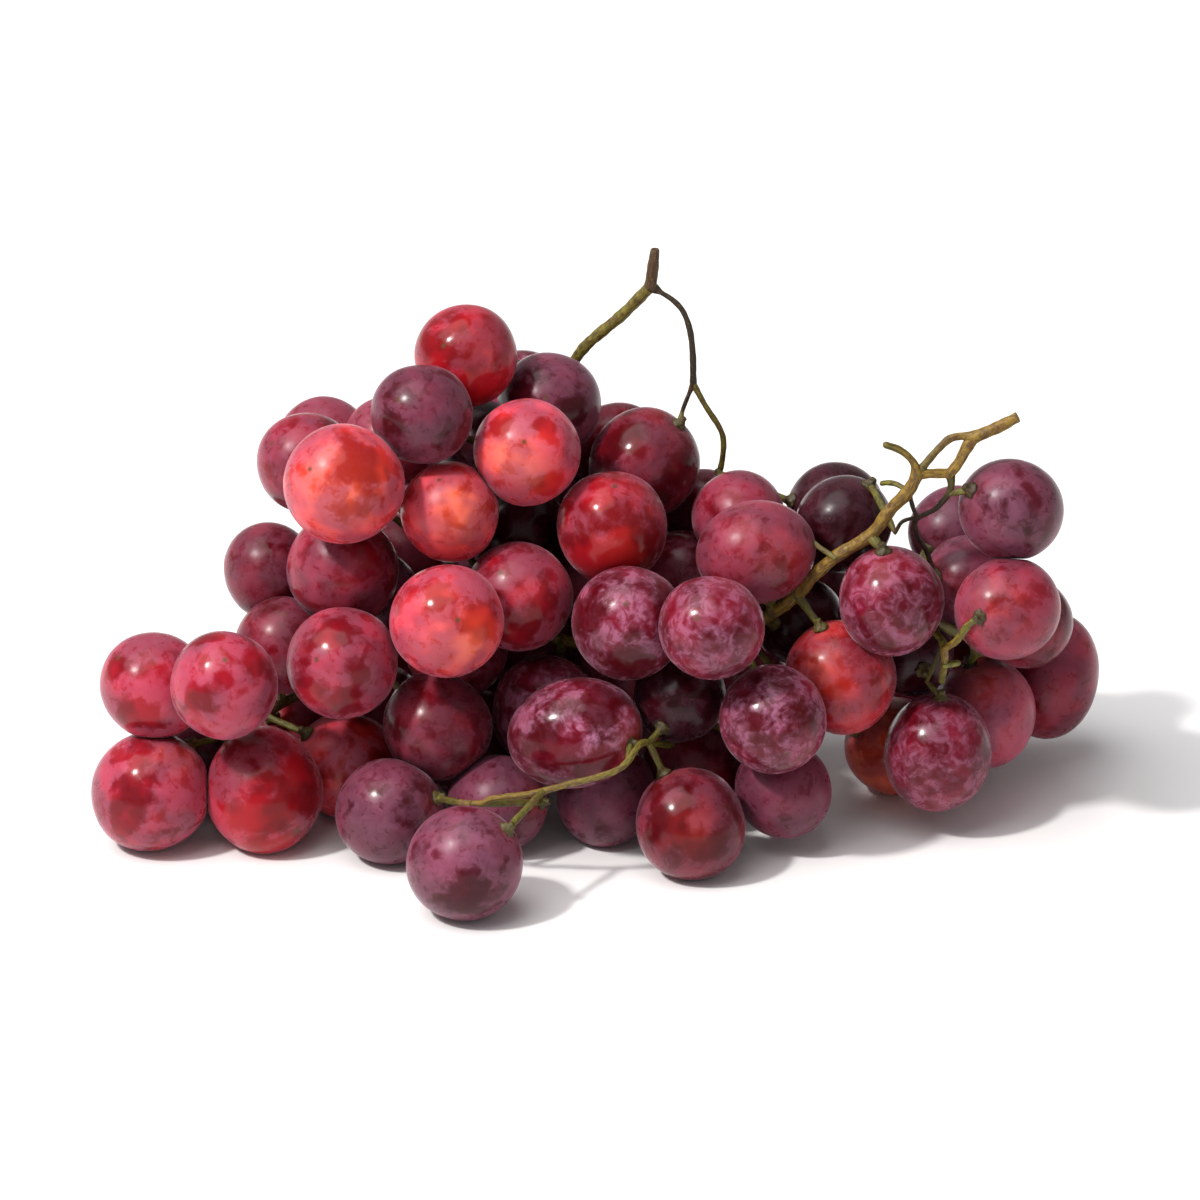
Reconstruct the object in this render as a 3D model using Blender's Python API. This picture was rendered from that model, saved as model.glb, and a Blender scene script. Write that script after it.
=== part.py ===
"""Bunch of red table grapes, lying on a table on its own berries.

Places are written as a person in front of the bunch sees them: across to the right, up in the
view, and back from the berry that lies nearest. The view looks down on the table at a slant.
"""
import collections
import math

import bmesh
import bpy
import numpy as np
from mathutils import Vector

MM = 0.001
VIEW_ELEVATION = math.radians(25)
SEED = 11

# Fit between berries, in millimetres
PRESS = 1.3             # how far berries of one cluster are pressed into each other
CLUSTER_GAP = 1.2       # space between berries of two clusters, which their facets partly take up
FLAT_DEPTH = 0.4        # depth of the flat that a berry gets where it lies on the table
BERRY_SUBDIVISIONS = 2
FACET_GROWTH = 1.04     # a faceted berry is drawn this much larger, so that it keeps its volume
NEAR_TABLE = 1.0        # a berry whose lowest point starts this close to the table lies on it
CLEAR_OF_TABLE = 0.9    # and any other stays this far above it

# How the berries settle
SETTLE_ROUNDS = 400
DEPTH_ROUNDS = 0.6      # share of the rounds in which they move nearly in depth alone
SIDEWAYS_EARLY = 0.1    # share of each push that also moves a berry across the view
SIDEWAYS_LATE = 0.6
PUSH_SHARE = 0.4        # share of an overlap that one round takes away
TIE_PULL = 0.5          # a tie pulls this much less than an overlap pushes
HOME_PULL = 0.03        # share of the way back to its first place in the view that a berry moves
HOME_ROUNDS = 0.85      # share of the rounds with that pull: the last ones only make room

# Hidden berries
HIDDEN_COUNT = 27
HIDDEN_TRIES = 30000
HIDDEN_SIZES = (22.5, 25.5)
RIM_SPOTS = 16          # points of a berry's outline that have to be out of sight
RIM_SHARE = 0.97        # and how far out they lie, as a share of its radius
HEAP_MIDDLE = (0.0, 60.0)       # the hidden berries keep inside this oval on the table
HEAP_REACH = (96.0, 58.0)
HEAP_TOP = 80.0
GAPS = (                # across and up: each of these gaps is closed by one berry
    (-6.5, 77.0), (-29.5, 80.0), (-23.0, 117.0), (-8.0, 95.0), (-16.0, 59.0), (3.0, 53.0),
    (20.0, 37.0), (51.0, 76.5), (8.0, 43.0), (-48.0, 70.0))
GAP_REACH = 5.0
GAP_BACKS = (40.0, 110.0)
HIDDEN_ON_TABLE = 8             # so many of the others carry the bunch
HEIGHT_PENALTY = 0.1            # a low place and one far back are better by these, per millimetre
BACK_GAIN = 0.03
TOUCH = 0.4             # berries that press this far count as touching

# Stem
STEM_GAP = 0.35         # space between the stem and a berry
CELL = 2.5              # grid on which the hidden twigs find their way
TWIG_RADIUS = 0.8
TWIG_GROWTH = 0.26      # how much a twig thickens with the berries that it carries
TWIG_LIMIT = 1.7
CAP_RADIUS = 2.1        # swollen end of a pedicel
CAP_LENGTH = 1.6
NECK_SWELL = 1.3        # a pedicel is this much thicker where its cap begins
NECK_SHARE = 0.6        # a cap takes at most this share of a pedicel's last stretch
BRANCH_SIDES = 6
TWIG_SIDES = 5
HIDDEN_SIDES = 3        # of the twigs inside the heap
THICK_BRANCH = 1.15     # from this radius on, a drawn branch has the most sides
RELAX_ROUNDS = 60
RELAX_EASE = 0.35       # share of the way that a point moves to the middle of its neighbours
EASE_ROUNDS = 0.8       # share of the rounds with that smoothing: the last ones only make room
VIEW_HOLD = 0.4         # how strongly a drawn branch keeps its place in the view
CURVE_SAMPLES = 12      # points read between two points of a route
BRANCH_STEP = 3.0       # distance between the rings of a branch
BEND_TOLERANCE = 0.8    # a ring is left out where the stem is this close to straight
TIGHT_ROOM = 1.3        # room that a twig wants to each berry
PRICE_TIGHT = 6.0       # price of each missing millimetre of room
PRICE_SEEN = 2.0        # price of a cell that the front shows
PRICE_WALL = 500.0
START_NEAR = 1.5        # a pedicel's first cell is this far from its berry
START_FAR = 5.5
CAP_SEARCH = 6.0
CAP_EDGE = 0.93         # a cap sits at most this share of the radius off the berry's centre

# Clusters of berries: across, up, back and diameter in millimetres
CLUSTERS = {
    "left_tip": [
        (-76.5, 27.0, 35.0, 27.0), (-102.0, 27.0, 35.0, 27.0), (-101.0, 52.0, 50.0, 24.5),
        (-85.0, 52.0, 33.0, 24.5), (-57.5, 34.0, 54.0, 24.5)],
    "left_shoulder": [
        (-57.5, 58.0, 40.0, 25.5), (-71.0, 63.5, 57.0, 22.0), (-76.5, 76.0, 66.0, 21.5),
        (-58.0, 79.0, 60.0, 25.5)],
    "crown_left": [
        (-56.0, 98.5, 49.5, 27.5), (-66.0, 101.0, 71.0, 23.0), (-62.0, 107.0, 90.0, 21.5),
        (-41.0, 113.0, 62.0, 23.0), (-49.0, 107.0, 82.0, 20.5), (-29.5, 125.0, 75.0, 23.5)],
    "crown_top": [
        (-16.0, 104.0, 62.0, 24.5), (-10.5, 116.0, 81.0, 24.0), (-34.0, 91.0, 58.0, 22.5),
        (-27.0, 107.0, 95.0, 20.5)],
    "centre": [(-37.5, 65.5, 31.0, 26.0), (-16.0, 71.0, 51.0, 25.0), (-14.5, 89.0, 79.0, 22.5)],
    "tail": [(-37.0, 43.0, 48.0, 24.5), (-48.0, 22.5, 26.0, 24.0), (-23.0, 26.0, 36.0, 22.5)],
    "tail_end": [(-30.5, 12.0, 0.0, 26.0)],
    "front": [(-6.0, 41.5, 29.0, 26.5), (1.0, 27.0, 40.0, 23.0), (-12.5, 47.0, 50.0, 24.5)],
    "front_end": [(20.5, 21.0, 22.0, 25.0)],
    "middle": [
        (6.0, 67.0, 42.0, 26.0), (25.0, 65.0, 29.0, 24.0), (-2.0, 86.0, 58.0, 25.5),
        (19.0, 49.0, 48.0, 21.0), (9.5, 103.0, 79.0, 25.0), (4.0, 106.0, 98.0, 21.0)],
    "right_inner": [
        (35.5, 82.0, 50.0, 24.5), (31.0, 89.0, 71.0, 21.5), (22.0, 91.0, 90.0, 20.0),
        (18.0, 79.0, 76.0, 19.5)],
    "right_front": [
        (54.0, 54.0, 46.0, 25.5), (38.0, 44.0, 28.0, 24.5), (41.5, 28.5, 41.0, 22.0),
        (66.0, 71.0, 31.0, 24.5), (45.5, 66.0, 66.0, 20.5), (72.0, 59.0, 64.0, 20.0)],
    "right_back": [(55.0, 88.5, 62.0, 22.0), (54.0, 92.0, 84.0, 22.0)],
    "right_tip": [
        (92.0, 69.0, 50.0, 24.0), (83.5, 75.0, 68.0, 21.5), (93.0, 92.0, 62.0, 23.5),
        (81.0, 87.0, 82.0, 21.0), (97.0, 66.0, 69.0, 21.0)],
    "right_low": [
        (75.5, 37.0, 43.0, 25.5), (90.5, 47.0, 69.0, 24.0), (65.5, 39.0, 68.0, 22.5),
        (103.0, 54.0, 94.0, 25.0)],
}

PLAIN_STRETCH = 1.03    # most berries are this much longer along their stem than a ball

# Berries that are longer than round: cluster, place in its list, stretch and lean in degrees
OVALS = {
    ("front", 0): (1.17, 78.0),
    ("right_inner", 0): (1.09, 80.0),
    ("right_low", 3): (1.18, 8.0),
    ("right_low", 0): (1.07, 10.0),
    ("right_low", 1): (1.07, -12.0),
    ("left_tip", 0): (1.06, 0.0),
}

# Branches: radius at the start and the end, then across, up and back in millimetres
BRANCHES = {
    "arch_cut": (1.1, 1.45, [(12.5, 150.5, 84.0), (12.0, 146.0, 84.0), (11.5, 142.5, 84.0)]),
    "arch_left": (1.35, 1.15, [
        (11.5, 142.5, 84.0), (5.0, 136.0, 88.0), (-5.0, 127.0, 94.0), (-9.0, 116.0, 99.0),
        (-13.0, 100.0, 97.0), (-22.0, 84.0, 84.0), (-30.0, 70.0, 68.0)]),
    "arch_right": (0.55, 0.8, [
        (11.5, 142.5, 84.0), (17.5, 138.5, 83.0), (20.0, 134.0, 82.0), (21.0, 128.0, 81.0),
        (21.2, 120.5, 80.0)]),
    "arch_twig": (0.55, 0.45, [(21.2, 120.5, 80.0), (19.0, 115.0, 82.0), (18.2, 112.0, 83.0)]),
    "arch_end": (0.65, 0.75, [
        (21.2, 120.5, 80.0), (24.0, 115.5, 80.0), (27.7, 109.5, 81.0), (28.0, 104.5, 83.0),
        (26.8, 98.5, 86.0), (24.0, 86.0, 86.0), (12.0, 74.0, 78.0), (-6.0, 70.0, 74.0),
        (-30.0, 70.0, 68.0)]),
    "axis_left": (1.5, 1.1, [
        (-30.0, 70.0, 68.0), (-45.0, 62.0, 68.0), (-60.0, 54.0, 70.0), (-74.0, 47.0, 62.0),
        (-86.0, 40.0, 52.0)]),
    "main_cut": (1.25, 1.45, [(94.0, 112.5, 50.0), (89.5, 110.2, 50.0), (84.3, 108.0, 50.0)]),
    "main_upper": (0.9, 0.85, [
        (84.3, 108.0, 50.0), (79.5, 108.0, 49.0), (75.5, 104.5, 48.0), (71.5, 99.6, 48.0)]),
    "main_lower": (1.35, 1.15, [
        (84.3, 108.0, 50.0), (83.0, 106.0, 49.0), (80.5, 101.5, 48.0), (79.0, 99.8, 48.0)]),
    "main_bar": (1.0, 1.1, [(79.0, 99.8, 48.0), (75.0, 99.8, 48.0), (71.5, 99.6, 48.0)]),
    "main_stub": (0.85, 0.8, [
        (71.5, 99.6, 48.0), (70.3, 103.0, 47.0), (66.0, 106.0, 46.0), (64.5, 106.2, 46.0)]),
    "main_down": (1.5, 1.3, [
        (71.5, 99.6, 48.0), (69.5, 95.8, 47.5), (65.3, 91.5, 47.0), (61.2, 86.0, 46.5),
        (53.2, 80.8, 47.0), (46.0, 74.4, 50.0), (41.0, 69.5, 53.0), (28.0, 63.0, 60.0),
        (12.0, 60.0, 66.0)]),
    "axis_right": (1.3, 1.4, [(12.0, 60.0, 66.0), (-8.0, 62.0, 70.0), (-30.0, 70.0, 68.0)]),
    "main_drop": (0.9, 0.65, [(79.0, 99.8, 48.0), (79.2, 96.5, 48.0), (77.5, 93.6, 49.5)]),
    "dry_drop": (0.6, 0.6, [
        (77.5, 93.6, 49.5), (74.8, 91.0, 50.5), (71.6, 90.0, 51.0), (71.8, 85.8, 53.0),
        (74.1, 82.0, 56.0), (76.0, 74.0, 54.0), (76.0, 64.0, 44.0)]),
    "dry_link": (0.5, 0.5, [(70.0, 96.4, 47.6), (70.3, 93.5, 49.5), (71.6, 90.0, 51.0)]),
    "dry_end": (0.5, 0.4, [(71.6, 90.0, 51.0), (68.4, 89.0, 51.5), (66.8, 86.4, 52.0)]),
    "side_twig": (0.65, 0.6, [(69.5, 95.8, 47.5), (66.5, 97.6, 50.0), (63.8, 97.6, 54.0)]),
    "back_twig": (0.65, 0.6, [(53.2, 80.8, 47.0), (50.4, 82.6, 49.0), (47.8, 84.6, 53.0)]),
    "low_stem": (0.9, 0.9, [(76.0, 64.0, 44.0), (77.5, 62.0, 42.0), (78.0, 60.5, 40.0)]),
    "low_drop": (0.9, 0.8, [(78.0, 60.5, 40.0), (78.0, 56.5, 42.0), (77.5, 53.0, 45.0)]),
    "low_right": (0.8, 0.8, [(78.0, 60.5, 40.0), (80.5, 62.0, 39.0), (83.0, 65.5, 38.0)]),
    "low_side": (0.8, 0.8, [(78.0, 56.5, 42.0), (81.0, 57.0, 44.0)]),
    "low_twig": (0.55, 0.5, [(77.5, 62.0, 42.0), (76.2, 57.5, 45.0), (74.2, 52.8, 50.0)]),
    "tail_line": (0.8, 0.7, [
        (16.0, 38.5, 40.0), (12.0, 38.8, 30.0), (9.0, 38.6, 22.0), (4.0, 33.0, 14.0),
        (-8.0, 29.5, 13.0), (-16.0, 27.5, 13.5), (-24.0, 26.5, 14.5), (-27.0, 25.3, 16.0),
        (-31.5, 25.5, 19.0)]),
    "tail_root": (0.9, 0.9, [(16.0, 38.5, 40.0), (13.0, 48.0, 56.0), (12.0, 60.0, 66.0)]),
}

# Where the front shows a pedicel meeting its berry: cluster, place in its list, across and up
SEEN_CAPS = {
    ("right_tip", 0): (85.7, 67.4),
    ("right_tip", 2): (83.9, 96.0),
    ("right_low", 1): (84.3, 56.5),
    ("right_low", 0): (77.5, 49.5),
    ("right_back", 0): (61.0, 97.0),
    ("right_front", 3): (64.0, 82.0),
    ("right_front", 0): (50.0, 65.0),
    ("left_tip", 4): (-67.0, 41.0),
    ("tail", 1): (-36.5, 26.5),
    ("tail", 2): (-13.4, 25.5),
    ("tail_end", 0): (-20.5, 20.0),
    ("front", 0): (9.0, 38.8),
}

FRUIT = (0.34, 0.03, 0.06, 1.0)
FRUIT_ROUGHNESS = 0.35
WOOD = (0.23, 0.17, 0.05, 1.0)
WOOD_ROUGHNESS = 0.6
TABLE_WIDTH = 500.0
TABLE_THICKNESS = 20.0
WELD = 1e-7             # points closer than this are one, in metres

# Directions as the front view sees them
SIGHT = np.array((0.0, math.cos(VIEW_ELEVATION), -math.sin(VIEW_ELEVATION)))
RISE = np.array((0.0, math.sin(VIEW_ELEVATION), math.cos(VIEW_ELEVATION)))
ACROSS = np.array((1.0, 0.0, 0.0))


def clear_scene():
    for item in list(bpy.data.objects):
        bpy.data.objects.remove(item, do_unlink=True)


def in_room(view_points):
    """Turns across, up and back as seen from the front into x, y and z."""
    across, up, back = np.moveaxis(np.asarray(view_points, float), -1, 0)
    height = (up - back * math.sin(VIEW_ELEVATION)) / math.cos(VIEW_ELEVATION)
    return np.stack((across, back, height), axis=-1)


def spread(centres, radii, cluster, ties, sideways):
    """One round of pushes: apart where two berries press too far, together along each tie."""
    away = centres[:, None] - centres[None]
    distance = np.linalg.norm(away, axis=2)
    np.fill_diagonal(distance, 1.0)
    normal = away / distance[..., None]
    same = cluster[:, None] == cluster[None]
    wanted = radii[:, None] + radii[None] + np.where(same, -PRESS, CLUSTER_GAP)
    push = np.clip(wanted - distance, 0.0, None)
    np.fill_diagonal(push, 0.0)
    first, second = ties[:, 0], ties[:, 1]
    pull = np.clip(distance - wanted, 0.0, None)[first, second] * TIE_PULL
    np.subtract.at(push, (first, second), pull)
    np.subtract.at(push, (second, first), pull)
    along = np.sign(normal @ SIGHT)
    depth_move = (push * along)[..., None] * SIGHT
    side_move = push[..., None] * normal
    return (depth_move * (1.0 - sideways) + side_move * sideways).sum(axis=1) * PUSH_SHARE


def nearest_ties(centres, cluster):
    """Pairs each berry with the nearest earlier berry of its cluster."""
    pairs = []
    for index in range(len(centres)):
        earlier = np.flatnonzero(cluster[:index] == cluster[index])
        if len(earlier):
            gaps = np.linalg.norm(centres[earlier] - centres[index], axis=1)
            pairs.append((index, earlier[np.argmin(gaps)]))
    return np.array(pairs)


def settle(centres, radii, cluster, ties, rounds):
    """Lets the berries find their places: first in depth alone, then a little sideways too.

    Across and up it is drawn back to its first place for most of the rounds. A berry that starts
    near the table stays on it.
    """
    lying = centres[:, 2] < radii + NEAR_TABLE
    home = centres
    for turn in range(rounds):
        sideways = SIDEWAYS_EARLY if turn < rounds * DEPTH_ROUNDS else SIDEWAYS_LATE
        centres = centres + spread(centres, radii, cluster, ties, sideways)
        if turn < rounds * HOME_ROUNDS:
            back = home - centres
            centres += HOME_PULL * (back - (back @ SIGHT)[:, None] * SIGHT)
        low = radii - FLAT_DEPTH
        centres[:, 2] = np.where(lying, low, np.maximum(centres[:, 2], low + CLEAR_OF_TABLE))
    return centres


def is_covered(spots, spot_radius, centres, radii):
    """Tells which spots are hidden from the front: every point of their rim is behind a berry."""
    flat = np.stack((centres[:, 0], centres @ RISE), axis=1)
    spot_flat = np.stack((spots[:, 0], spots @ RISE), axis=1)
    in_front = (centres @ SIGHT)[None] < (spots @ SIGHT)[:, None]
    covered = np.ones(len(spots), bool)
    for angle in np.linspace(0.0, math.tau, RIM_SPOTS, endpoint=False):
        outward = np.array((math.cos(angle), math.sin(angle)))
        rim = spot_flat + spot_radius * RIM_SHARE * outward
        reach = np.linalg.norm(rim[:, None] - flat[None], axis=2)
        covered &= ((reach < radii[None]) & in_front).any(axis=1)
    return covered


def is_behind(spots, spot_radius, centres, radii):
    """Tells which spots lie behind every berry that they overlap in the view."""
    aside = np.hypot(
        spots[:, None, 0] - centres[None, :, 0], (spots @ RISE)[:, None] - (centres @ RISE)[None])
    overlaps = aside < radii[None] + spot_radius
    behind = (spots @ SIGHT)[:, None] > (centres @ SIGHT)[None]
    return (behind | ~overlaps).all(axis=1)


def behind_gap(gap, circle, height, radius):
    """Spots along the line of sight through a gap, at a share of the way that the height gives."""
    share = (height - radius - NEAR_TABLE) / (HEAP_TOP - radius - NEAR_TABLE)
    back = GAP_BACKS[0] + share * (GAP_BACKS[1] - GAP_BACKS[0])
    spots = in_room(np.hstack((gap + circle * GAP_REACH, back[:, None])))
    return spots[spots[:, 2] > radius + NEAR_TABLE]


def add_hidden(centres, radii, cluster):
    """Fills gaps and the back of the heap: each new berry lies behind, touches others and is low."""
    draw = np.random.default_rng(SEED)
    shown = len(centres)
    for turn in range(HIDDEN_COUNT):
        radius = draw.uniform(*HIDDEN_SIZES) / 2
        angle = draw.uniform(0.0, math.tau, HIDDEN_TRIES)
        share = np.sqrt(draw.uniform(0.0, 1.0, HIDDEN_TRIES))
        height = draw.uniform(radius + NEAR_TABLE, HEAP_TOP, HIDDEN_TRIES)
        circle = np.stack((share * np.cos(angle), share * np.sin(angle)), axis=1)
        if turn < len(GAPS):
            spots = behind_gap(GAPS[turn], circle, height, radius)
        else:
            spots = np.hstack((HEAP_MIDDLE + circle * HEAP_REACH, height[:, None]))
            if turn < len(GAPS) + HIDDEN_ON_TABLE:
                spots[:, 2] = radius - FLAT_DEPTH
        space = np.linalg.norm(spots[:, None] - centres[None], axis=2) - radii[None] - radius
        fits = space.min(axis=1)
        good = (fits > -PRESS) & (fits < -TOUCH)
        spots = spots[good]
        space = space[good]
        if turn < len(GAPS):
            good = is_behind(spots, radius, centres[:shown], radii[:shown])
        else:
            good = is_covered(spots, radius, centres[:shown], radii[:shown])
        if not good.any():
            continue
        spots = spots[good]
        space = space[good]
        contacts = np.sort(space, axis=1)[:, :4].sum(axis=1)
        choice = np.argmin(contacts + HEIGHT_PENALTY * spots[:, 2] - BACK_GAIN * spots[:, 1])
        touched = cluster[space[choice] < -TOUCH]
        smallest = min(touched, key=lambda number: np.count_nonzero(cluster == number))
        centres = np.vstack((centres, spots[choice]))
        radii = np.append(radii, radius)
        cluster = np.append(cluster, smallest)
    return centres, radii, cluster


def place_berries():
    """Returns centres, radii and cluster numbers of all berries, shown and hidden."""
    rows = [(number, *berry) for number, name in enumerate(CLUSTERS) for berry in CLUSTERS[name]]
    rows = np.array(rows)
    cluster = rows[:, 0].astype(int)
    radii = rows[:, 4] / 2
    centres = in_room(rows[:, 1:4])
    ties = nearest_ties(centres, cluster)
    centres = settle(centres, radii, cluster, ties, SETTLE_ROUNDS)
    centres, radii, cluster = add_hidden(centres, radii, cluster)
    ties = nearest_ties(centres, cluster)
    centres = settle(centres, radii, cluster, ties, SETTLE_ROUNDS // 4)
    return centres, radii, cluster


def smooth_route(points, step):
    """A Catmull-Rom curve through the points, read at even steps along its length."""
    points = np.asarray(points, float)
    ends = np.vstack((2 * points[0] - points[1], points, 2 * points[-1] - points[-2]))
    share = np.linspace(0.0, 1.0, CURVE_SAMPLES, endpoint=False)[:, None]
    pieces = []
    for before, here, there, after in zip(ends, ends[1:], ends[2:], ends[3:]):
        pieces.append(0.5 * (
            2 * here + (there - before) * share
            + (2 * before - 5 * here + 4 * there - after) * share**2
            + (3 * here - before - 3 * there + after) * share**3))
    curve = np.vstack((*pieces, points[-1:]))
    lengths = np.append(0.0, np.cumsum(np.linalg.norm(np.diff(curve, axis=0), axis=1)))
    count = max(2, round(lengths[-1] / step) + 1)
    wanted = np.linspace(0.0, lengths[-1], count)
    return np.stack([np.interp(wanted, lengths, curve[:, axis]) for axis in range(3)], axis=1)


class Tree:
    """The stem as points joined by links: each point has a thickness, each link its two ends."""

    def __init__(self):
        self.points = []
        self.thickness = []
        self.links = []
        self.runs = []
        self.places = {}

    def add(self, point, thickness):
        """Adds a point, or finds the one already there, and returns its number."""
        key = tuple(np.round(point, 2))
        if key not in self.places:
            self.places[key] = len(self.points)
            self.points.append(np.asarray(point, float))
            self.thickness.append(thickness)
        number = self.places[key]
        self.thickness[number] = max(self.thickness[number], thickness)
        return number

    def add_run(self, points, thickness):
        """Adds a row of points, each linked to the next."""
        numbers = [self.add(*pair) for pair in zip(points, thickness)]
        self.links += list(zip(numbers, numbers[1:]))
        self.runs.append(numbers)


def drawn_branches():
    tree = Tree()
    for start, end, route in BRANCHES.values():
        points = smooth_route(in_room(route), BRANCH_STEP)
        tree.add_run(points, np.linspace(start, end, len(points)))
    return tree


def relax(tree, free, centres, radii, keep_view):
    """Smooths the free points and pushes them clear of every berry."""
    points = np.array(tree.points)
    thickness = np.array(tree.thickness)
    links = np.array(tree.links)
    home = points.copy()
    room = radii[None] + thickness[:, None] + STEM_GAP
    both_ways = np.vstack((links, links[:, ::-1]))
    count = np.bincount(both_ways[:, 0], minlength=len(points))[:, None]
    for turn in range(RELAX_ROUNDS):
        total = np.zeros_like(points)
        np.add.at(total, both_ways[:, 0], points[both_ways[:, 1]])
        ease = RELAX_EASE if turn < RELAX_ROUNDS * EASE_ROUNDS else 0.0
        moved = points + ease * np.where(count > 1, total / np.maximum(count, 1) - points, 0.0)
        away = moved[:, None] - centres[None]
        distance = np.linalg.norm(away, axis=2)
        short = np.clip(room - distance, 0.0, None)
        moved += (away / distance[..., None] * short[..., None]).sum(axis=1)
        if keep_view:
            side = home - moved
            moved += VIEW_HOLD * (side - (side @ SIGHT)[:, None] * SIGHT)
        moved[:, 2] = np.maximum(moved[:, 2], thickness + STEM_GAP)
        points = np.where(free[:, None], moved, points)
    tree.points = list(points)


class Grid:
    """A box of cells round the bunch, each with a price for leading a twig through it."""

    def __init__(self, centres, radii, shown):
        self.low = (centres - radii[:, None]).min(axis=0) - 3 * CELL
        high = (centres + radii[:, None]).max(axis=0) + 3 * CELL
        self.shape = tuple(np.ceil((high - self.low) / CELL).astype(int))
        steps = [np.arange(count) * CELL for count in self.shape]
        spots = self.low + np.stack(np.meshgrid(*steps, indexing="ij"), axis=-1)
        room = np.full(self.shape, 99.0)
        hidden = np.zeros(self.shape, bool)
        for number, (centre, radius) in enumerate(zip(centres, radii)):
            away = spots - centre
            room = np.minimum(room, np.linalg.norm(away, axis=-1) - radius)
            if number < shown:
                aside = np.hypot(away[..., 0], away @ RISE)
                hidden |= (aside < radius) & (away @ SIGHT > 0.0)
        tight = np.clip(TIGHT_ROOM - room, 0.0, None)
        self.price = 1.0 + tight * PRICE_TIGHT + np.where(hidden, 0.0, PRICE_SEEN)
        self.price[spots[..., 2] < TWIG_LIMIT] = PRICE_WALL
        for axis in range(3):
            for side in (0, -1):
                wall = [slice(None)] * 3
                wall[axis] = side
                self.price[tuple(wall)] = PRICE_WALL
        self.cost = np.full(self.shape, np.inf)
        self.offsets = [step for step in np.ndindex(3, 3, 3) if step != (1, 1, 1)]

    def cell(self, point):
        return tuple(np.round((point - self.low) / CELL).astype(int))

    def place(self, cell):
        return self.low + np.array(cell) * CELL

    def spread_from(self, points):
        """Finds for every cell the cheapest way to one of the points."""
        for point in points:
            spot = self.cell(point)
            if all(0 <= place < count for place, count in zip(spot, self.shape)):
                self.cost[spot] = 0.0
        changed = True
        while changed:
            before = self.cost.copy()
            for offset in self.offsets:
                shift = tuple(place - 1 for place in offset)
                length = math.sqrt(sum(abs(place) for place in shift))
                reached = np.roll(self.cost, shift, axis=(0, 1, 2)) + self.price * length
                self.cost = np.minimum(self.cost, reached)
            changed = not np.array_equal(before, self.cost)

    def way(self, start):
        """The cells from the start down to a cell of the stem."""
        cells = [start]
        while self.cost[cells[-1]] > 0.0:
            here = cells[-1]
            around = [tuple(np.add(here, offset) - 1) for offset in self.offsets]
            around = [cell for cell in around if cell not in cells]
            reach = [
                self.cost[cell] + self.price[here] * math.dist(cell, here) for cell in around]
            cells.append(around[int(np.argmin(reach))])
        return cells

    def start_near(self, centre, radius, cap):
        """The cell close to a berry, and to its cap if that is known, with the cheapest way."""
        low = np.maximum(np.subtract(self.cell(centre - radius), 3), 0)
        high = np.add(self.cell(centre + radius), 4)
        window = tuple(slice(first, last) for first, last in zip(low, high))
        cost = self.cost[window]
        steps = [np.arange(count) for count in cost.shape]
        cells = low + np.stack(np.meshgrid(*steps, indexing="ij"), axis=-1)
        spots = self.low + cells * CELL
        away = np.linalg.norm(spots - centre, axis=-1) - radius
        near = (away > START_NEAR) & (away < START_FAR)
        if cap is not None:
            near &= np.linalg.norm(spots - cap, axis=-1) < CAP_SEARCH
        score = np.where(near, cost, np.inf)
        best = np.unravel_index(np.argmin(score), score.shape)
        return tuple(int(place) for place in cells[best])


def cap_on_front(centre, radius, across, up):
    """The point of a berry's near side that is seen at this place."""
    aside = np.array((across - centre[0], up - centre @ RISE)) / radius
    aside /= max(1.0, np.linalg.norm(aside) / CAP_EDGE)
    toward = math.sqrt(1.0 - aside @ aside)
    return centre + radius * (aside[0] * ACROSS + aside[1] * RISE - toward * SIGHT)


def caps_seen(centres, radii):
    """For each berry of the clusters its cap on the front, or None where it is out of sight."""
    names = [(name, place) for name in CLUSTERS for place in range(len(CLUSTERS[name]))]
    return [
        cap_on_front(centre, radius, *SEEN_CAPS[name]) if name in SEEN_CAPS else None
        for name, centre, radius in zip(names, centres, radii)]


def grow_twigs(tree, centres, radii, caps):
    """Leads a twig from every berry to the branches, and returns each berry's cap direction."""
    grid = Grid(centres, radii, len(caps))
    branch_points = np.array(tree.points)
    grid.spread_from(branch_points)
    caps = caps + [None] * (len(radii) - len(caps))
    following = {}
    ways = []
    for centre, radius, cap in zip(centres, radii, caps):
        cells = grid.way(grid.start_near(centre, radius, cap))
        for here, there in zip(cells, cells[1:]):
            following.setdefault(here, there)
        way = [cells[0]]
        while way[-1] in following:
            way.append(following[way[-1]])
        ways.append(way)
    carried = collections.Counter(cell for way in ways for cell in way)
    numbers = {}
    for way in ways:
        gaps = np.linalg.norm(branch_points - grid.place(way[-1]), axis=1)
        numbers[way[-1]] = int(np.argmin(gaps))
    axes = np.zeros_like(centres)
    tips = []
    seen_tips = set()
    for place in sorted(range(len(ways)), key=lambda place: -len(ways[place])):
        way, centre, radius, cap = ways[place], centres[place], radii[place], caps[place]
        spot = grid.place(way[0]) if cap is None else cap
        axes[place] = (spot - centre) / np.linalg.norm(spot - centre)
        run = [tree.add(centre + axes[place] * (radius + STEM_GAP), TWIG_RADIUS)]
        tips.append(run[0])
        if cap is not None:
            seen_tips.add(run[0])
        for cell in way:
            known = cell in numbers
            if not known:
                thickness = TWIG_RADIUS + TWIG_GROWTH * math.sqrt(carried[cell] - 1)
                numbers[cell] = tree.add(grid.place(cell), min(thickness, TWIG_LIMIT))
            run.append(numbers[cell])
            if known:
                break
        tree.links += list(zip(run, run[1:]))
        tree.runs.append(run[::-1])
    free = np.ones(len(tree.points), bool)
    free[: len(branch_points)] = False
    free[tips] = False
    relax(tree, free, centres, radii, keep_view=False)
    return axes, seen_tips


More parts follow.
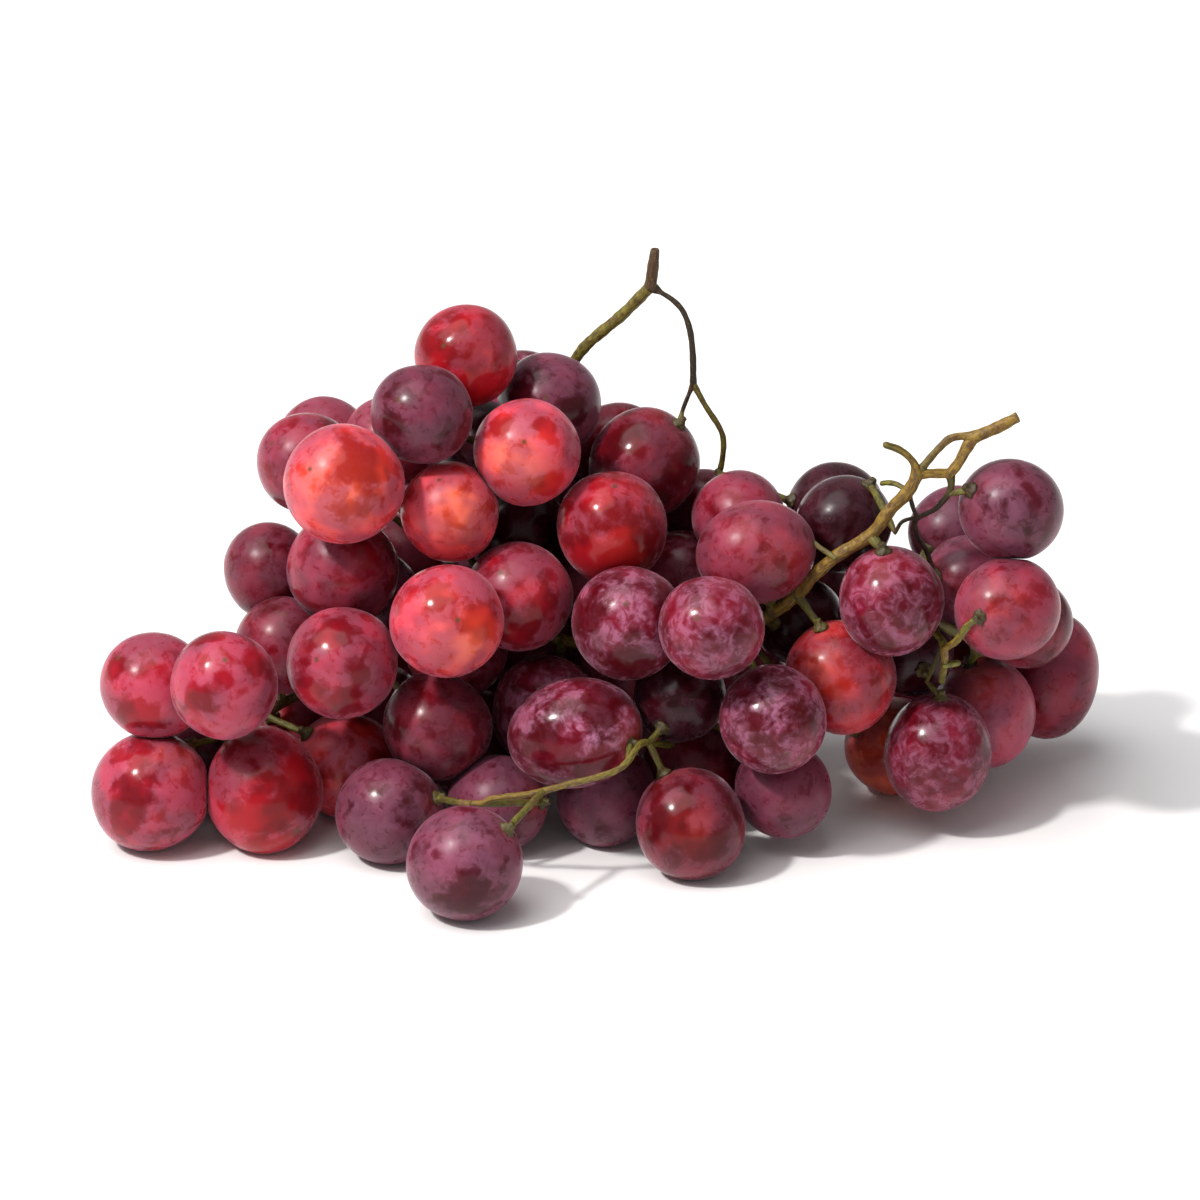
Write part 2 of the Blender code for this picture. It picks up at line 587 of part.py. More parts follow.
def needed(points, chain):
    """The points of a run that its bends need: the others lie close to the lines between them."""
    first, last = points[chain[0]], points[chain[-1]]
    if len(chain) < 3:
        return chain
    line = (last - first) / max(np.linalg.norm(last - first), 1e-6)
    away = points[chain] - first
    aside = np.linalg.norm(away - (away @ line)[:, None] * line, axis=1)
    middle = int(np.argmax(aside[1:-1])) + 1
    if aside[middle] < BEND_TOLERANCE:
        return [chain[0], chain[-1]]
    return needed(points, chain[: middle + 1]) + needed(points, chain[middle:])[1:]


def stem_tubes(tree, seen_tips, growth, name):
    """One tube for each run of the tree; a run that the front shows swells into its cap."""
    points = np.array(tree.points)
    thickness = np.array(tree.thickness)
    tubes = []
    for number, run in enumerate(tree.runs):
        kept = needed(points, run)
        route = points[kept]
        thick = thickness[kept]
        sides = HIDDEN_SIDES
        if number < len(BRANCHES):
            sides = BRANCH_SIDES if thick.max() > THICK_BRANCH else TWIG_SIDES
        elif run[-1] in seen_tips:
            sides = TWIG_SIDES
            last = route[-2] - route[-1]
            neck = route[-1] + last * min(CAP_LENGTH / np.linalg.norm(last), NECK_SHARE)
            route = np.vstack((route[:-1], neck, route[-1:]))
            thick = np.append(thick[:-1], (TWIG_RADIUS * NECK_SWELL, CAP_RADIUS))
        tubes.append(tube(f"{name}_{number}", route, thick + growth, sides))
    return tubes


def tube(name, points, thickness, sides):
    """A closed tube along the points, with a ring of its own thickness at each."""
    along = np.gradient(points, axis=0)
    along /= np.linalg.norm(along, axis=1)[:, None]
    side = np.cross(along[0], (0.31, 0.17, 0.93))
    turn = np.linspace(0.0, math.tau, sides, endpoint=False)[:, None]
    shape = bmesh.new()
    rings = []
    for point, direction, radius in zip(points, along, thickness):
        side = side - direction * (side @ direction)
        side /= np.linalg.norm(side)
        other = np.cross(direction, side)
        ring = point + radius * (np.cos(turn) * side + np.sin(turn) * other)
        rings.append([shape.verts.new(corner * MM) for corner in ring])
    for lower, upper in zip(rings, rings[1:]):
        for place in range(sides):
            after = (place + 1) % sides
            shape.faces.new((lower[place], lower[after], upper[after], upper[place]))
    shape.faces.new(rings[0][::-1])
    shape.faces.new(rings[-1])
    return new_object(name, shape)


def new_object(name, shape):
    mesh = bpy.data.meshes.new(name)
    shape.to_mesh(mesh)
    shape.free()
    item = bpy.data.objects.new(name, mesh)
    bpy.context.scene.collection.objects.link(item)
    return item


def joined(name, pieces):
    """Joins the pieces into one solid by a union, and removes them."""
    base = pieces[0]
    rest = bpy.data.collections.new(name + "_rest")
    bpy.context.scene.collection.children.link(rest)
    for piece in pieces[1:]:
        rest.objects.link(piece)
    base.name = name
    base.data.name = name
    if len(pieces) > 1:
        union = base.modifiers.new("union", "BOOLEAN")
        union.operation = "UNION"
        union.operand_type = "COLLECTION"
        union.collection = rest
        union.solver = "MANIFOLD"
        apply_modifiers(base)
    for piece in pieces[1:]:
        bpy.data.objects.remove(piece, do_unlink=True)
    bpy.data.collections.remove(rest)
    return base


def apply_modifiers(item):
    bpy.context.view_layer.update()
    seen = item.evaluated_get(bpy.context.evaluated_depsgraph_get())
    mesh = bpy.data.meshes.new_from_object(seen)
    item.modifiers.clear()
    item.data = mesh
    mesh.name = item.name


def cut_by(item, cutter):
    cut = item.modifiers.new("cut", "BOOLEAN")
    cut.operation = "DIFFERENCE"
    cut.object = cutter
    cut.solver = "MANIFOLD"
    apply_modifiers(item)


def keep_largest(item):
    """Drops loose scraps and folded flaps: only the body with the most faces stays.

    A body ends where an edge has more than two faces.
    """
    shape = bmesh.new()
    shape.from_mesh(item.data)
    bmesh.ops.triangulate(shape, faces=shape.faces)
    bmesh.ops.remove_doubles(shape, verts=shape.verts, dist=WELD)
    left = set(shape.faces)
    bodies = []
    while left:
        found = {left.pop()}
        rim = list(found)
        while rim:
            edges = [edge for edge in rim.pop().edges if len(edge.link_faces) == 2]
            beside = {face for edge in edges for face in edge.link_faces} & left
            left -= beside
            found |= beside
            rim += beside
        bodies.append(found)
    largest = max(bodies, key=len)
    loose = [face for body in bodies if body is not largest for face in body]
    bmesh.ops.delete(shape, geom=loose, context="FACES")
    shape.to_mesh(item.data)
    shape.free()


def berry(name, centre, radius, axis, stretch):
    """A faceted berry, longer along its axis by the stretch, with the same volume as a ball."""
    shape = bmesh.new()
    size = radius * FACET_GROWTH * MM
    bmesh.ops.create_icosphere(shape, subdivisions=BERRY_SUBDIVISIONS, radius=size)
    slim = stretch ** -0.5
    bmesh.ops.scale(shape, vec=(slim, slim, stretch), verts=shape.verts)
    turn = Vector(axis).to_track_quat("Z", "Y").to_matrix()
    bmesh.ops.rotate(shape, matrix=turn, verts=shape.verts)
    bmesh.ops.translate(shape, vec=Vector(centre) * MM, verts=shape.verts)
    return new_object(name, shape)


def material(name, colour, roughness):
    paint = bpy.data.materials.new(name)
    paint.use_nodes = True
    shader = paint.node_tree.nodes["Principled BSDF"]
    shader.inputs["Base Color"].default_value = colour
    shader.inputs["Roughness"].default_value = roughness
    return paint


def table_cutter():
    """A slab whose top is the table, used to give the lowest berries their flats."""
    shape = bmesh.new()
    bmesh.ops.create_cube(shape, size=1.0)
    size = Vector((TABLE_WIDTH, TABLE_WIDTH, TABLE_THICKNESS)) * MM
    bmesh.ops.scale(shape, vec=size, verts=shape.verts)
    bmesh.ops.translate(shape, vec=(0.0, 0.0, -size.z / 2), verts=shape.verts)
    cutter = new_object("table_cutter", shape)
    cutter.hide_render = True
    cutter.display_type = "WIRE"
    return cutter


def long_axes(axes):
    """Each berry's long axis and stretch: its own for the ovals, else a little along its stem."""
    stretch = np.full(len(axes), PLAIN_STRETCH)
    long_axis = axes.copy()
    places = [(name, place) for name in CLUSTERS for place in range(len(CLUSTERS[name]))]
    for number, place in enumerate(places):
        if place in OVALS:
            stretch[number], lean = OVALS[place]
            lean = math.radians(lean)
            long_axis[number] = math.cos(lean) * RISE + math.sin(lean) * ACROSS
    return long_axis, stretch


def bunch():
    """Settles the berries and grows the stem, and moves both so that they stand on the origin."""
    centres, radii, cluster = place_berries()
    tree = drawn_branches()
    relax(tree, np.ones(len(tree.points), bool), centres, radii, keep_view=True)
    axes, seen_tips = grow_twigs(tree, centres, radii, caps_seen(centres, radii))
    reach = radii[:, None] * FACET_GROWTH
    middle = ((centres - reach).min(axis=0) + (centres + reach).max(axis=0)) / 2
    middle[2] = 0.0
    tree.points = [point - middle for point in tree.points]
    return centres - middle, radii, cluster, axes, tree, seen_tips


def build():
    clear_scene()
    centres, radii, cluster, axes, tree, seen_tips = bunch()
    long_axis, stretch = long_axes(axes)
    stem = joined("stem", stem_tubes(tree, seen_tips, 0.0, "twig"))
    keep_largest(stem)
    stem.data.materials.append(material("stem_wood", WOOD, WOOD_ROUGHNESS))
    cutter = joined("stem_cutter", stem_tubes(tree, seen_tips, STEM_GAP, "cut"))
    table = table_cutter()
    fruit = material("grape_skin", FRUIT, FRUIT_ROUGHNESS)
    for number, name in enumerate(CLUSTERS):
        members = np.flatnonzero(cluster == number)
        group = joined(name + "_berries", [
            berry(f"berry_{place}", centres[place], radii[place], long_axis[place], stretch[place])
            for place in members])
        cut_by(group, cutter)
        cut_by(group, table)
        keep_largest(group)
        group.data.materials.clear()
        group.data.materials.append(fruit)
    for helper in (cutter, table):
        bpy.data.objects.remove(helper, do_unlink=True)


if __name__ == "__main__":
    build()
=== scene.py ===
"""Bunch of red table grapes, as it lies on a white table.

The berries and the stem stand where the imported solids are: the same places are worked out here from
the same tables. Places are written as a person in front of the bunch sees them: across to the right,
up in the view, and back from the berry that lies nearest, in millimetres.
"""
import collections
import functools
import math

import bpy
import numpy as np
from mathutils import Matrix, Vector


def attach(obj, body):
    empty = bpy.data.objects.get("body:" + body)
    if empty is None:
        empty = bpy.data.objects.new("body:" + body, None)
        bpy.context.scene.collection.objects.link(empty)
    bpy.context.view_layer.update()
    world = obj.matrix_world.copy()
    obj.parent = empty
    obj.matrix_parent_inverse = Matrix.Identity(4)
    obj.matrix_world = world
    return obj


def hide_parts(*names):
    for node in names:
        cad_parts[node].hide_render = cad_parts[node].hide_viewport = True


bl_info = {
    "name": "Bunch of grapes",
    "version": (1, 0, 0),
    "blender": (4, 5, 0),
    "location": "View3D > Sidebar > Grapes",
    "description": "Builds the berries, the stem and the stage of a bunch of grapes",
    "category": "Add Mesh",
}

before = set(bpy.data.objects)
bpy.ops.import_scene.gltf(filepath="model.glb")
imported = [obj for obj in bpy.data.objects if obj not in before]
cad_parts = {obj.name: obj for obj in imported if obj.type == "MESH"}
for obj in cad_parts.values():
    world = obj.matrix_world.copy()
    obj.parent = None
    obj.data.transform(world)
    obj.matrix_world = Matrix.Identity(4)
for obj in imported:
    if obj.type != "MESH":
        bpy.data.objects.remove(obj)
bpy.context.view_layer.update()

MM = 0.001
VIEW_ELEVATION = math.radians(25)
SEED = 11

# Fit between berries, in millimetres
PRESS = 1.3             # how far berries of one cluster are pressed into each other
CLUSTER_GAP = 1.2       # space between berries of two clusters, which their facets partly take up
FLAT_DEPTH = 0.4        # depth of the flat that a berry gets where it lies on the table
FACET_GROWTH = 1.04     # a faceted berry is drawn this much larger, so that it keeps its volume
NEAR_TABLE = 1.0        # a berry whose lowest point starts this close to the table lies on it
CLEAR_OF_TABLE = 0.9    # and any other stays this far above it

# How the berries settle
SETTLE_ROUNDS = 400
DEPTH_ROUNDS = 0.6      # share of the rounds in which they move nearly in depth alone
SIDEWAYS_EARLY = 0.1    # share of each push that also moves a berry across the view
SIDEWAYS_LATE = 0.6
PUSH_SHARE = 0.4        # share of an overlap that one round takes away
TIE_PULL = 0.5          # a tie pulls this much less than an overlap pushes
HOME_PULL = 0.03        # share of the way back to its first place in the view that a berry moves
HOME_ROUNDS = 0.85      # share of the rounds with that pull: the last ones only make room

# Hidden berries
HIDDEN_COUNT = 27
HIDDEN_TRIES = 30000
HIDDEN_SIZES = (22.5, 25.5)
RIM_SPOTS = 16          # points of a berry's outline that have to be out of sight
RIM_SHARE = 0.97        # and how far out they lie, as a share of its radius
HEAP_MIDDLE = (0.0, 60.0)       # the hidden berries keep inside this oval on the table
HEAP_REACH = (96.0, 58.0)
HEAP_TOP = 80.0
GAPS = (                # across and up: each of these gaps is closed by one berry
    (-6.5, 77.0), (-29.5, 80.0), (-23.0, 117.0), (-8.0, 95.0), (-16.0, 59.0), (3.0, 53.0),
    (20.0, 37.0), (51.0, 76.5), (8.0, 43.0), (-48.0, 70.0))
GAP_REACH = 5.0
GAP_BACKS = (40.0, 110.0)
HIDDEN_ON_TABLE = 8             # so many of the others carry the bunch
HEIGHT_PENALTY = 0.1            # a low place and one far back are better by these, per millimetre
BACK_GAIN = 0.03
TOUCH = 0.4             # berries that press this far count as touching

# Stem
STEM_GAP = 0.35         # space between the stem and a berry
CELL = 2.5              # grid on which the hidden twigs find their way
TWIG_RADIUS = 0.8
TWIG_GROWTH = 0.26      # how much a twig thickens with the berries that it carries
TWIG_LIMIT = 1.7
RELAX_ROUNDS = 60
RELAX_EASE = 0.35       # share of the way that a point moves to the middle of its neighbours
EASE_ROUNDS = 0.8       # share of the rounds with that smoothing: the last ones only make room
VIEW_HOLD = 0.4         # how strongly a drawn branch keeps its place in the view
CURVE_SAMPLES = 12      # points read between two points of a route
BRANCH_STEP = 3.0       # distance between the rings of a branch
TIGHT_ROOM = 1.3        # room that a twig wants to each berry
PRICE_TIGHT = 6.0       # price of each missing millimetre of room
PRICE_SEEN = 2.0        # price of a cell that the front shows
PRICE_WALL = 500.0
START_NEAR = 1.5        # a pedicel's first cell is this far from its berry
START_FAR = 5.5
CAP_SEARCH = 6.0
CAP_EDGE = 0.93         # a cap sits at most this share of the radius off the berry's centre

# Clusters of berries: across, up, back and diameter in millimetres
CLUSTERS = {
    "left_tip": [
        (-76.5, 27.0, 35.0, 27.0), (-102.0, 27.0, 35.0, 27.0), (-101.0, 52.0, 50.0, 24.5),
        (-85.0, 52.0, 33.0, 24.5), (-57.5, 34.0, 54.0, 24.5)],
    "left_shoulder": [
        (-57.5, 58.0, 40.0, 25.5), (-71.0, 63.5, 57.0, 22.0), (-76.5, 76.0, 66.0, 21.5),
        (-58.0, 79.0, 60.0, 25.5)],
    "crown_left": [
        (-56.0, 98.5, 49.5, 27.5), (-66.0, 101.0, 71.0, 23.0), (-62.0, 107.0, 90.0, 21.5),
        (-41.0, 113.0, 62.0, 23.0), (-49.0, 107.0, 82.0, 20.5), (-29.5, 125.0, 75.0, 23.5)],
    "crown_top": [
        (-16.0, 104.0, 62.0, 24.5), (-10.5, 116.0, 81.0, 24.0), (-34.0, 91.0, 58.0, 22.5),
        (-27.0, 107.0, 95.0, 20.5)],
    "centre": [(-37.5, 65.5, 31.0, 26.0), (-16.0, 71.0, 51.0, 25.0), (-14.5, 89.0, 79.0, 22.5)],
    "tail": [(-37.0, 43.0, 48.0, 24.5), (-48.0, 22.5, 26.0, 24.0), (-23.0, 26.0, 36.0, 22.5)],
    "tail_end": [(-30.5, 12.0, 0.0, 26.0)],
    "front": [(-6.0, 41.5, 29.0, 26.5), (1.0, 27.0, 40.0, 23.0), (-12.5, 47.0, 50.0, 24.5)],
    "front_end": [(20.5, 21.0, 22.0, 25.0)],
    "middle": [
        (6.0, 67.0, 42.0, 26.0), (25.0, 65.0, 29.0, 24.0), (-2.0, 86.0, 58.0, 25.5),
        (19.0, 49.0, 48.0, 21.0), (9.5, 103.0, 79.0, 25.0), (4.0, 106.0, 98.0, 21.0)],
    "right_inner": [
        (35.5, 82.0, 50.0, 24.5), (31.0, 89.0, 71.0, 21.5), (22.0, 91.0, 90.0, 20.0),
        (18.0, 79.0, 76.0, 19.5)],
    "right_front": [
        (54.0, 54.0, 46.0, 25.5), (38.0, 44.0, 28.0, 24.5), (41.5, 28.5, 41.0, 22.0),
        (66.0, 71.0, 31.0, 24.5), (45.5, 66.0, 66.0, 20.5), (72.0, 59.0, 64.0, 20.0)],
    "right_back": [(55.0, 88.5, 62.0, 22.0), (54.0, 92.0, 84.0, 22.0)],
    "right_tip": [
        (92.0, 69.0, 50.0, 24.0), (83.5, 75.0, 68.0, 21.5), (93.0, 92.0, 62.0, 23.5),
        (81.0, 87.0, 82.0, 21.0), (97.0, 66.0, 69.0, 21.0)],
    "right_low": [
        (75.5, 37.0, 43.0, 25.5), (90.5, 47.0, 69.0, 24.0), (65.5, 39.0, 68.0, 22.5),
        (103.0, 54.0, 94.0, 25.0)],
}

# Each of these berries by its cluster and its place in the list
BERRIES = [(name, place) for name, rows in CLUSTERS.items() for place in range(len(rows))]

PLAIN_STRETCH = 1.03    # most berries are this much longer along their stem than a ball

# Berries that are longer than round: cluster, place in its list, stretch and lean in degrees
OVALS = {
    ("front", 0): (1.17, 78.0),
    ("right_inner", 0): (1.09, 80.0),
    ("right_low", 3): (1.18, 8.0),
    ("right_low", 0): (1.07, 10.0),
    ("right_low", 1): (1.07, -12.0),
    ("left_tip", 0): (1.06, 0.0),
}

# Branches: radius at the start and the end, then across, up and back in millimetres
BRANCHES = {
    "arch_cut": (1.1, 1.45, [(12.5, 150.5, 84.0), (12.0, 146.0, 84.0), (11.5, 142.5, 84.0)]),
    "arch_left": (1.35, 1.15, [
        (11.5, 142.5, 84.0), (5.0, 136.0, 88.0), (-5.0, 127.0, 94.0), (-9.0, 116.0, 99.0),
        (-13.0, 100.0, 97.0), (-22.0, 84.0, 84.0), (-30.0, 70.0, 68.0)]),
    "arch_right": (0.55, 0.8, [
        (11.5, 142.5, 84.0), (17.5, 138.5, 83.0), (20.0, 134.0, 82.0), (21.0, 128.0, 81.0),
        (21.2, 120.5, 80.0)]),
    "arch_twig": (0.55, 0.45, [(21.2, 120.5, 80.0), (19.0, 115.0, 82.0), (18.2, 112.0, 83.0)]),
    "arch_end": (0.65, 0.75, [
        (21.2, 120.5, 80.0), (24.0, 115.5, 80.0), (27.7, 109.5, 81.0), (28.0, 104.5, 83.0),
        (26.8, 98.5, 86.0), (24.0, 86.0, 86.0), (12.0, 74.0, 78.0), (-6.0, 70.0, 74.0),
        (-30.0, 70.0, 68.0)]),
    "axis_left": (1.5, 1.1, [
        (-30.0, 70.0, 68.0), (-45.0, 62.0, 68.0), (-60.0, 54.0, 70.0), (-74.0, 47.0, 62.0),
        (-86.0, 40.0, 52.0)]),
    "main_cut": (1.25, 1.45, [(94.0, 112.5, 50.0), (89.5, 110.2, 50.0), (84.3, 108.0, 50.0)]),
    "main_upper": (0.9, 0.85, [
        (84.3, 108.0, 50.0), (79.5, 108.0, 49.0), (75.5, 104.5, 48.0), (71.5, 99.6, 48.0)]),
    "main_lower": (1.35, 1.15, [
        (84.3, 108.0, 50.0), (83.0, 106.0, 49.0), (80.5, 101.5, 48.0), (79.0, 99.8, 48.0)]),
    "main_bar": (1.0, 1.1, [(79.0, 99.8, 48.0), (75.0, 99.8, 48.0), (71.5, 99.6, 48.0)]),
    "main_stub": (0.85, 0.8, [
        (71.5, 99.6, 48.0), (70.3, 103.0, 47.0), (66.0, 106.0, 46.0), (64.5, 106.2, 46.0)]),
    "main_down": (1.5, 1.3, [
        (71.5, 99.6, 48.0), (69.5, 95.8, 47.5), (65.3, 91.5, 47.0), (61.2, 86.0, 46.5),
        (53.2, 80.8, 47.0), (46.0, 74.4, 50.0), (41.0, 69.5, 53.0), (28.0, 63.0, 60.0),
        (12.0, 60.0, 66.0)]),
    "axis_right": (1.3, 1.4, [(12.0, 60.0, 66.0), (-8.0, 62.0, 70.0), (-30.0, 70.0, 68.0)]),
    "main_drop": (0.9, 0.65, [(79.0, 99.8, 48.0), (79.2, 96.5, 48.0), (77.5, 93.6, 49.5)]),
    "dry_drop": (0.6, 0.6, [
        (77.5, 93.6, 49.5), (74.8, 91.0, 50.5), (71.6, 90.0, 51.0), (71.8, 85.8, 53.0),
        (74.1, 82.0, 56.0), (76.0, 74.0, 54.0), (76.0, 64.0, 44.0)]),
    "dry_link": (0.5, 0.5, [(70.0, 96.4, 47.6), (70.3, 93.5, 49.5), (71.6, 90.0, 51.0)]),
    "dry_end": (0.5, 0.4, [(71.6, 90.0, 51.0), (68.4, 89.0, 51.5), (66.8, 86.4, 52.0)]),
    "side_twig": (0.65, 0.6, [(69.5, 95.8, 47.5), (66.5, 97.6, 50.0), (63.8, 97.6, 54.0)]),
    "back_twig": (0.65, 0.6, [(53.2, 80.8, 47.0), (50.4, 82.6, 49.0), (47.8, 84.6, 53.0)]),
    "low_stem": (0.9, 0.9, [(76.0, 64.0, 44.0), (77.5, 62.0, 42.0), (78.0, 60.5, 40.0)]),
    "low_drop": (0.9, 0.8, [(78.0, 60.5, 40.0), (78.0, 56.5, 42.0), (77.5, 53.0, 45.0)]),
    "low_right": (0.8, 0.8, [(78.0, 60.5, 40.0), (80.5, 62.0, 39.0), (83.0, 65.5, 38.0)]),
    "low_side": (0.8, 0.8, [(78.0, 56.5, 42.0), (81.0, 57.0, 44.0)]),
    "low_twig": (0.55, 0.5, [(77.5, 62.0, 42.0), (76.2, 57.5, 45.0), (74.2, 52.8, 50.0)]),
    "tail_line": (0.8, 0.7, [
        (16.0, 38.5, 40.0), (12.0, 38.8, 30.0), (9.0, 38.6, 22.0), (4.0, 33.0, 14.0),
        (-8.0, 29.5, 13.0), (-16.0, 27.5, 13.5), (-24.0, 26.5, 14.5), (-27.0, 25.3, 16.0),
        (-31.5, 25.5, 19.0)]),
    "tail_root": (0.9, 0.9, [(16.0, 38.5, 40.0), (13.0, 48.0, 56.0), (12.0, 60.0, 66.0)]),
}

# Where the front shows a pedicel meeting its berry: cluster, place in its list, across and up
SEEN_CAPS = {
    ("right_tip", 0): (85.7, 67.4),
    ("right_tip", 2): (83.9, 96.0),
    ("right_low", 1): (84.3, 56.5),
    ("right_low", 0): (77.5, 49.5),
    ("right_back", 0): (61.0, 97.0),
    ("right_front", 3): (64.0, 82.0),
    ("right_front", 0): (50.0, 65.0),
    ("left_tip", 4): (-67.0, 41.0),
    ("tail", 1): (-36.5, 26.5),
    ("tail", 2): (-13.4, 25.5),
    ("tail_end", 0): (-20.5, 20.0),
    ("front", 0): (9.0, 38.8),
}

# Directions as the front view sees them
SIGHT = np.array((0.0, math.cos(VIEW_ELEVATION), -math.sin(VIEW_ELEVATION)))
RISE = np.array((0.0, math.sin(VIEW_ELEVATION), math.cos(VIEW_ELEVATION)))
ACROSS = np.array((1.0, 0.0, 0.0))

# Skins: the bare skin's colour, the bloom's strength, how much of it is wiped off, and its mottling
SKINS = {
    "pink": ((222, 40, 44), 0.26, 0.40, 0.30),
    "red": ((172, 16, 26), 0.17, 0.55, 0.35),
    "rose": ((164, 15, 34), 0.21, 0.45, 0.30),
    "claret": ((138, 10, 30), 0.17, 0.45, 0.35),
    "wine": ((116, 10, 24), 0.13, 0.50, 0.45),
    "plum": ((92, 14, 32), 0.18, 0.34, 0.40),
    "frosted": ((116, 10, 34), 0.32, 0.45, 0.95),
    "dark": ((52, 6, 13), 0.04, 0.50, 0.60),
    "ember": ((168, 26, 18), 0.16, 0.45, 0.55),
    "amber": ((205, 86, 34), 0.13, 0.35, 0.35),
    "russet": ((176, 44, 54), 0.28, 0.30, 0.40),
}
HIDDEN_SKINS = ("wine", "plum", "wine", "rose", "frosted")
BLOOM = (206, 136, 172)
# Colour of the painted glow of light through the flesh, and of the warm ring at the pedicel
GLOW = (242, 104, 44)
DARK_BLOOM = 0.05       # skins with less bloom than this have no warm ring at the pedicel

# The skin of each berry, in the order of its cluster
LOOKS = {
    "left_tip": ("red", "rose", "rose", "rose", "pink"),
    "left_shoulder": ("rose", "wine", "wine", "claret"),
    "crown_left": ("pink", "claret", "rose", "plum", "rose", "red"),
    "crown_top": ("pink", "plum", "pink", "dark"),
    "centre": ("pink", "rose", "dark"),
    "tail": ("wine", "plum", "plum"),
    "tail_end": ("plum",),
    "front": ("frosted", "plum", "frosted"),
    "front_end": ("wine",),
    "middle": ("frosted", "frosted", "red", "dark", "wine", "wine"),
    "right_inner": ("claret", "claret", "wine", "wine"),
    "right_front": ("ember", "frosted", "plum", "frosted", "dark", "dark"),
    "right_back": ("dark", "dark"),
    "right_tip": ("claret", "plum", "plum", "plum", "wine"),
    "right_low": ("frosted", "russet", "amber", "claret"),
}

# Painted glow: warm patches that stand for light shining through the flesh. Across and up from the
# berry's middle, as shares of its radius, then width and strength
PAINTED_GLOWS = {
    ("crown_left", 0): [(0.05, -0.15, 0.85, 1.0)],
    ("crown_top", 2): [(0.20, 0.00, 0.70, 1.35)],
    ("crown_top", 0): [(-0.35, -0.10, 0.55, 0.95), (0.0, -0.5, 0.4, 0.5)],
    ("centre", 0): [(0.35, -0.45, 0.60, 0.90), (-0.1, 0.3, 0.4, 0.3)],
    ("right_front", 0): [(-0.45, 0.1, 0.5, 0.35)],
    ("right_tip", 0): [(-0.15, 0.10, 0.50, 0.2)],
    ("right_low", 1): [(-0.1, 0.75, 0.45, 0.5)],
    ("left_tip", 1): [(0.42, 0.62, 0.30, 0.55)],
    ("centre", 1): [(0.1, 0.15, 0.4, 0.1)],
    ("front_end", 0): [(0.1, -0.1, 0.5, 0.1)],
    ("right_inner", 0): [(0.4, -0.2, 0.5, 0.2)],
    ("middle", 2): [(0.3, -0.3, 0.5, 0.12)],
    ("crown_left", 5): [(0.35, 0.1, 0.4, 0.2)],
    ("left_tip", 4): [(0.1, 0.0, 0.6, 0.5)],
}

# Painted reflection of the soft lamp, laid on as spots of thicker bloom: across and up, width and
# strength, as for the painted glow patches
PAINTED_REFLECTIONS = {
    ("front", 0): [(0.45, 0.15, 0.55, 1.3), (-0.5, 0.35, 0.2, 0.8)],
    ("front", 1): [(-0.3, 0.3, 0.5, 0.9)],
    ("front", 2): [(-0.2, 0.3, 0.5, 0.6)],
    ("middle", 0): [(0.1, 0.1, 0.4, 0.8)],
    ("middle", 1): [(0.1, 0.0, 0.6, 0.5)],
    ("right_front", 1): [(-0.1, 0.2, 0.6, 0.6)],
    ("tail_end", 0): [(-0.1, 0.2, 0.6, 0.5)],
    ("tail", 1): [(-0.1, 0.2, 0.6, 0.7)],
    ("left_tip", 4): [(0.0, 0.1, 0.5, 0.9)],
    ("right_tip", 2): [(-0.2, 0.1, 0.6, 0.4)],
}

# Patches where the bloom is rubbed off: across, up and size, as shares of the radius
RUBS = {
    ("left_tip", 0): [(-0.05, -0.42, 0.34), (0.55, -0.1, 0.3), (0.62, 0.4, 0.22)],
    ("left_tip", 1): [(-0.4, 0.0, 0.35), (-0.45, -0.5, 0.25)],
    ("left_tip", 2): [(-0.7, 0.3, 0.2), (-0.2, -0.65, 0.3)],
    ("left_tip", 3): [(0.65, 0.35, 0.28), (0.0, 0.05, 0.2), (-0.5, -0.25, 0.25), (-0.2, 0.85, 0.2)],
    ("left_tip", 4): [(0.3, 0.75, 0.2), (0.55, 0.2, 0.15)],
    ("left_shoulder", 0): [
        (-0.15, 0.55, 0.26), (0.1, -0.65, 0.25), (-0.6, -0.5, 0.25), (0.4, -0.2, 0.12)],
    ("crown_left", 0): [(0.5, 0.35, 0.3), (0.1, 0.5, 0.2)],
    ("crown_left", 3): [(-0.6, -0.1, 0.2), (0.85, -0.4, 0.3)],
    ("crown_left", 5): [(-0.5, 0.1, 0.3), (0.1, -0.7, 0.35), (-0.1, 0.6, 0.2)],
    ("crown_top", 0): [(-0.5, 0.45, 0.2), (0.3, 0.45, 0.2), (0.4, -0.6, 0.25)],
    ("crown_top", 1): [(-0.6, 0.0, 0.3), (0.5, -0.1, 0.25)],
    ("centre", 0): [(-0.2, 0.4, 0.2), (0.6, 0.0, 0.3)],
    ("centre", 1): [(-0.1, -0.6, 0.35), (0.5, -0.1, 0.2)],
    ("middle", 0): [(-0.75, 0.1, 0.3), (0.75, 0.3, 0.35), (0.0, -0.75, 0.35)],
    ("middle", 2): [(0.4, -0.3, 0.35), (-0.4, -0.6, 0.3)],
    ("middle", 4): [(-0.5, 0.4, 0.3), (0.6, -0.1, 0.3)],
    ("front", 0): [(-0.45, -0.3, 0.4), (0.45, 0.55, 0.3), (0.4, -0.7, 0.3)],
    ("front_end", 0): [(-0.5, 0.0, 0.3), (0.3, -0.4, 0.3)],
    ("tail_end", 0): [(0.1, -0.55, 0.35)],
}

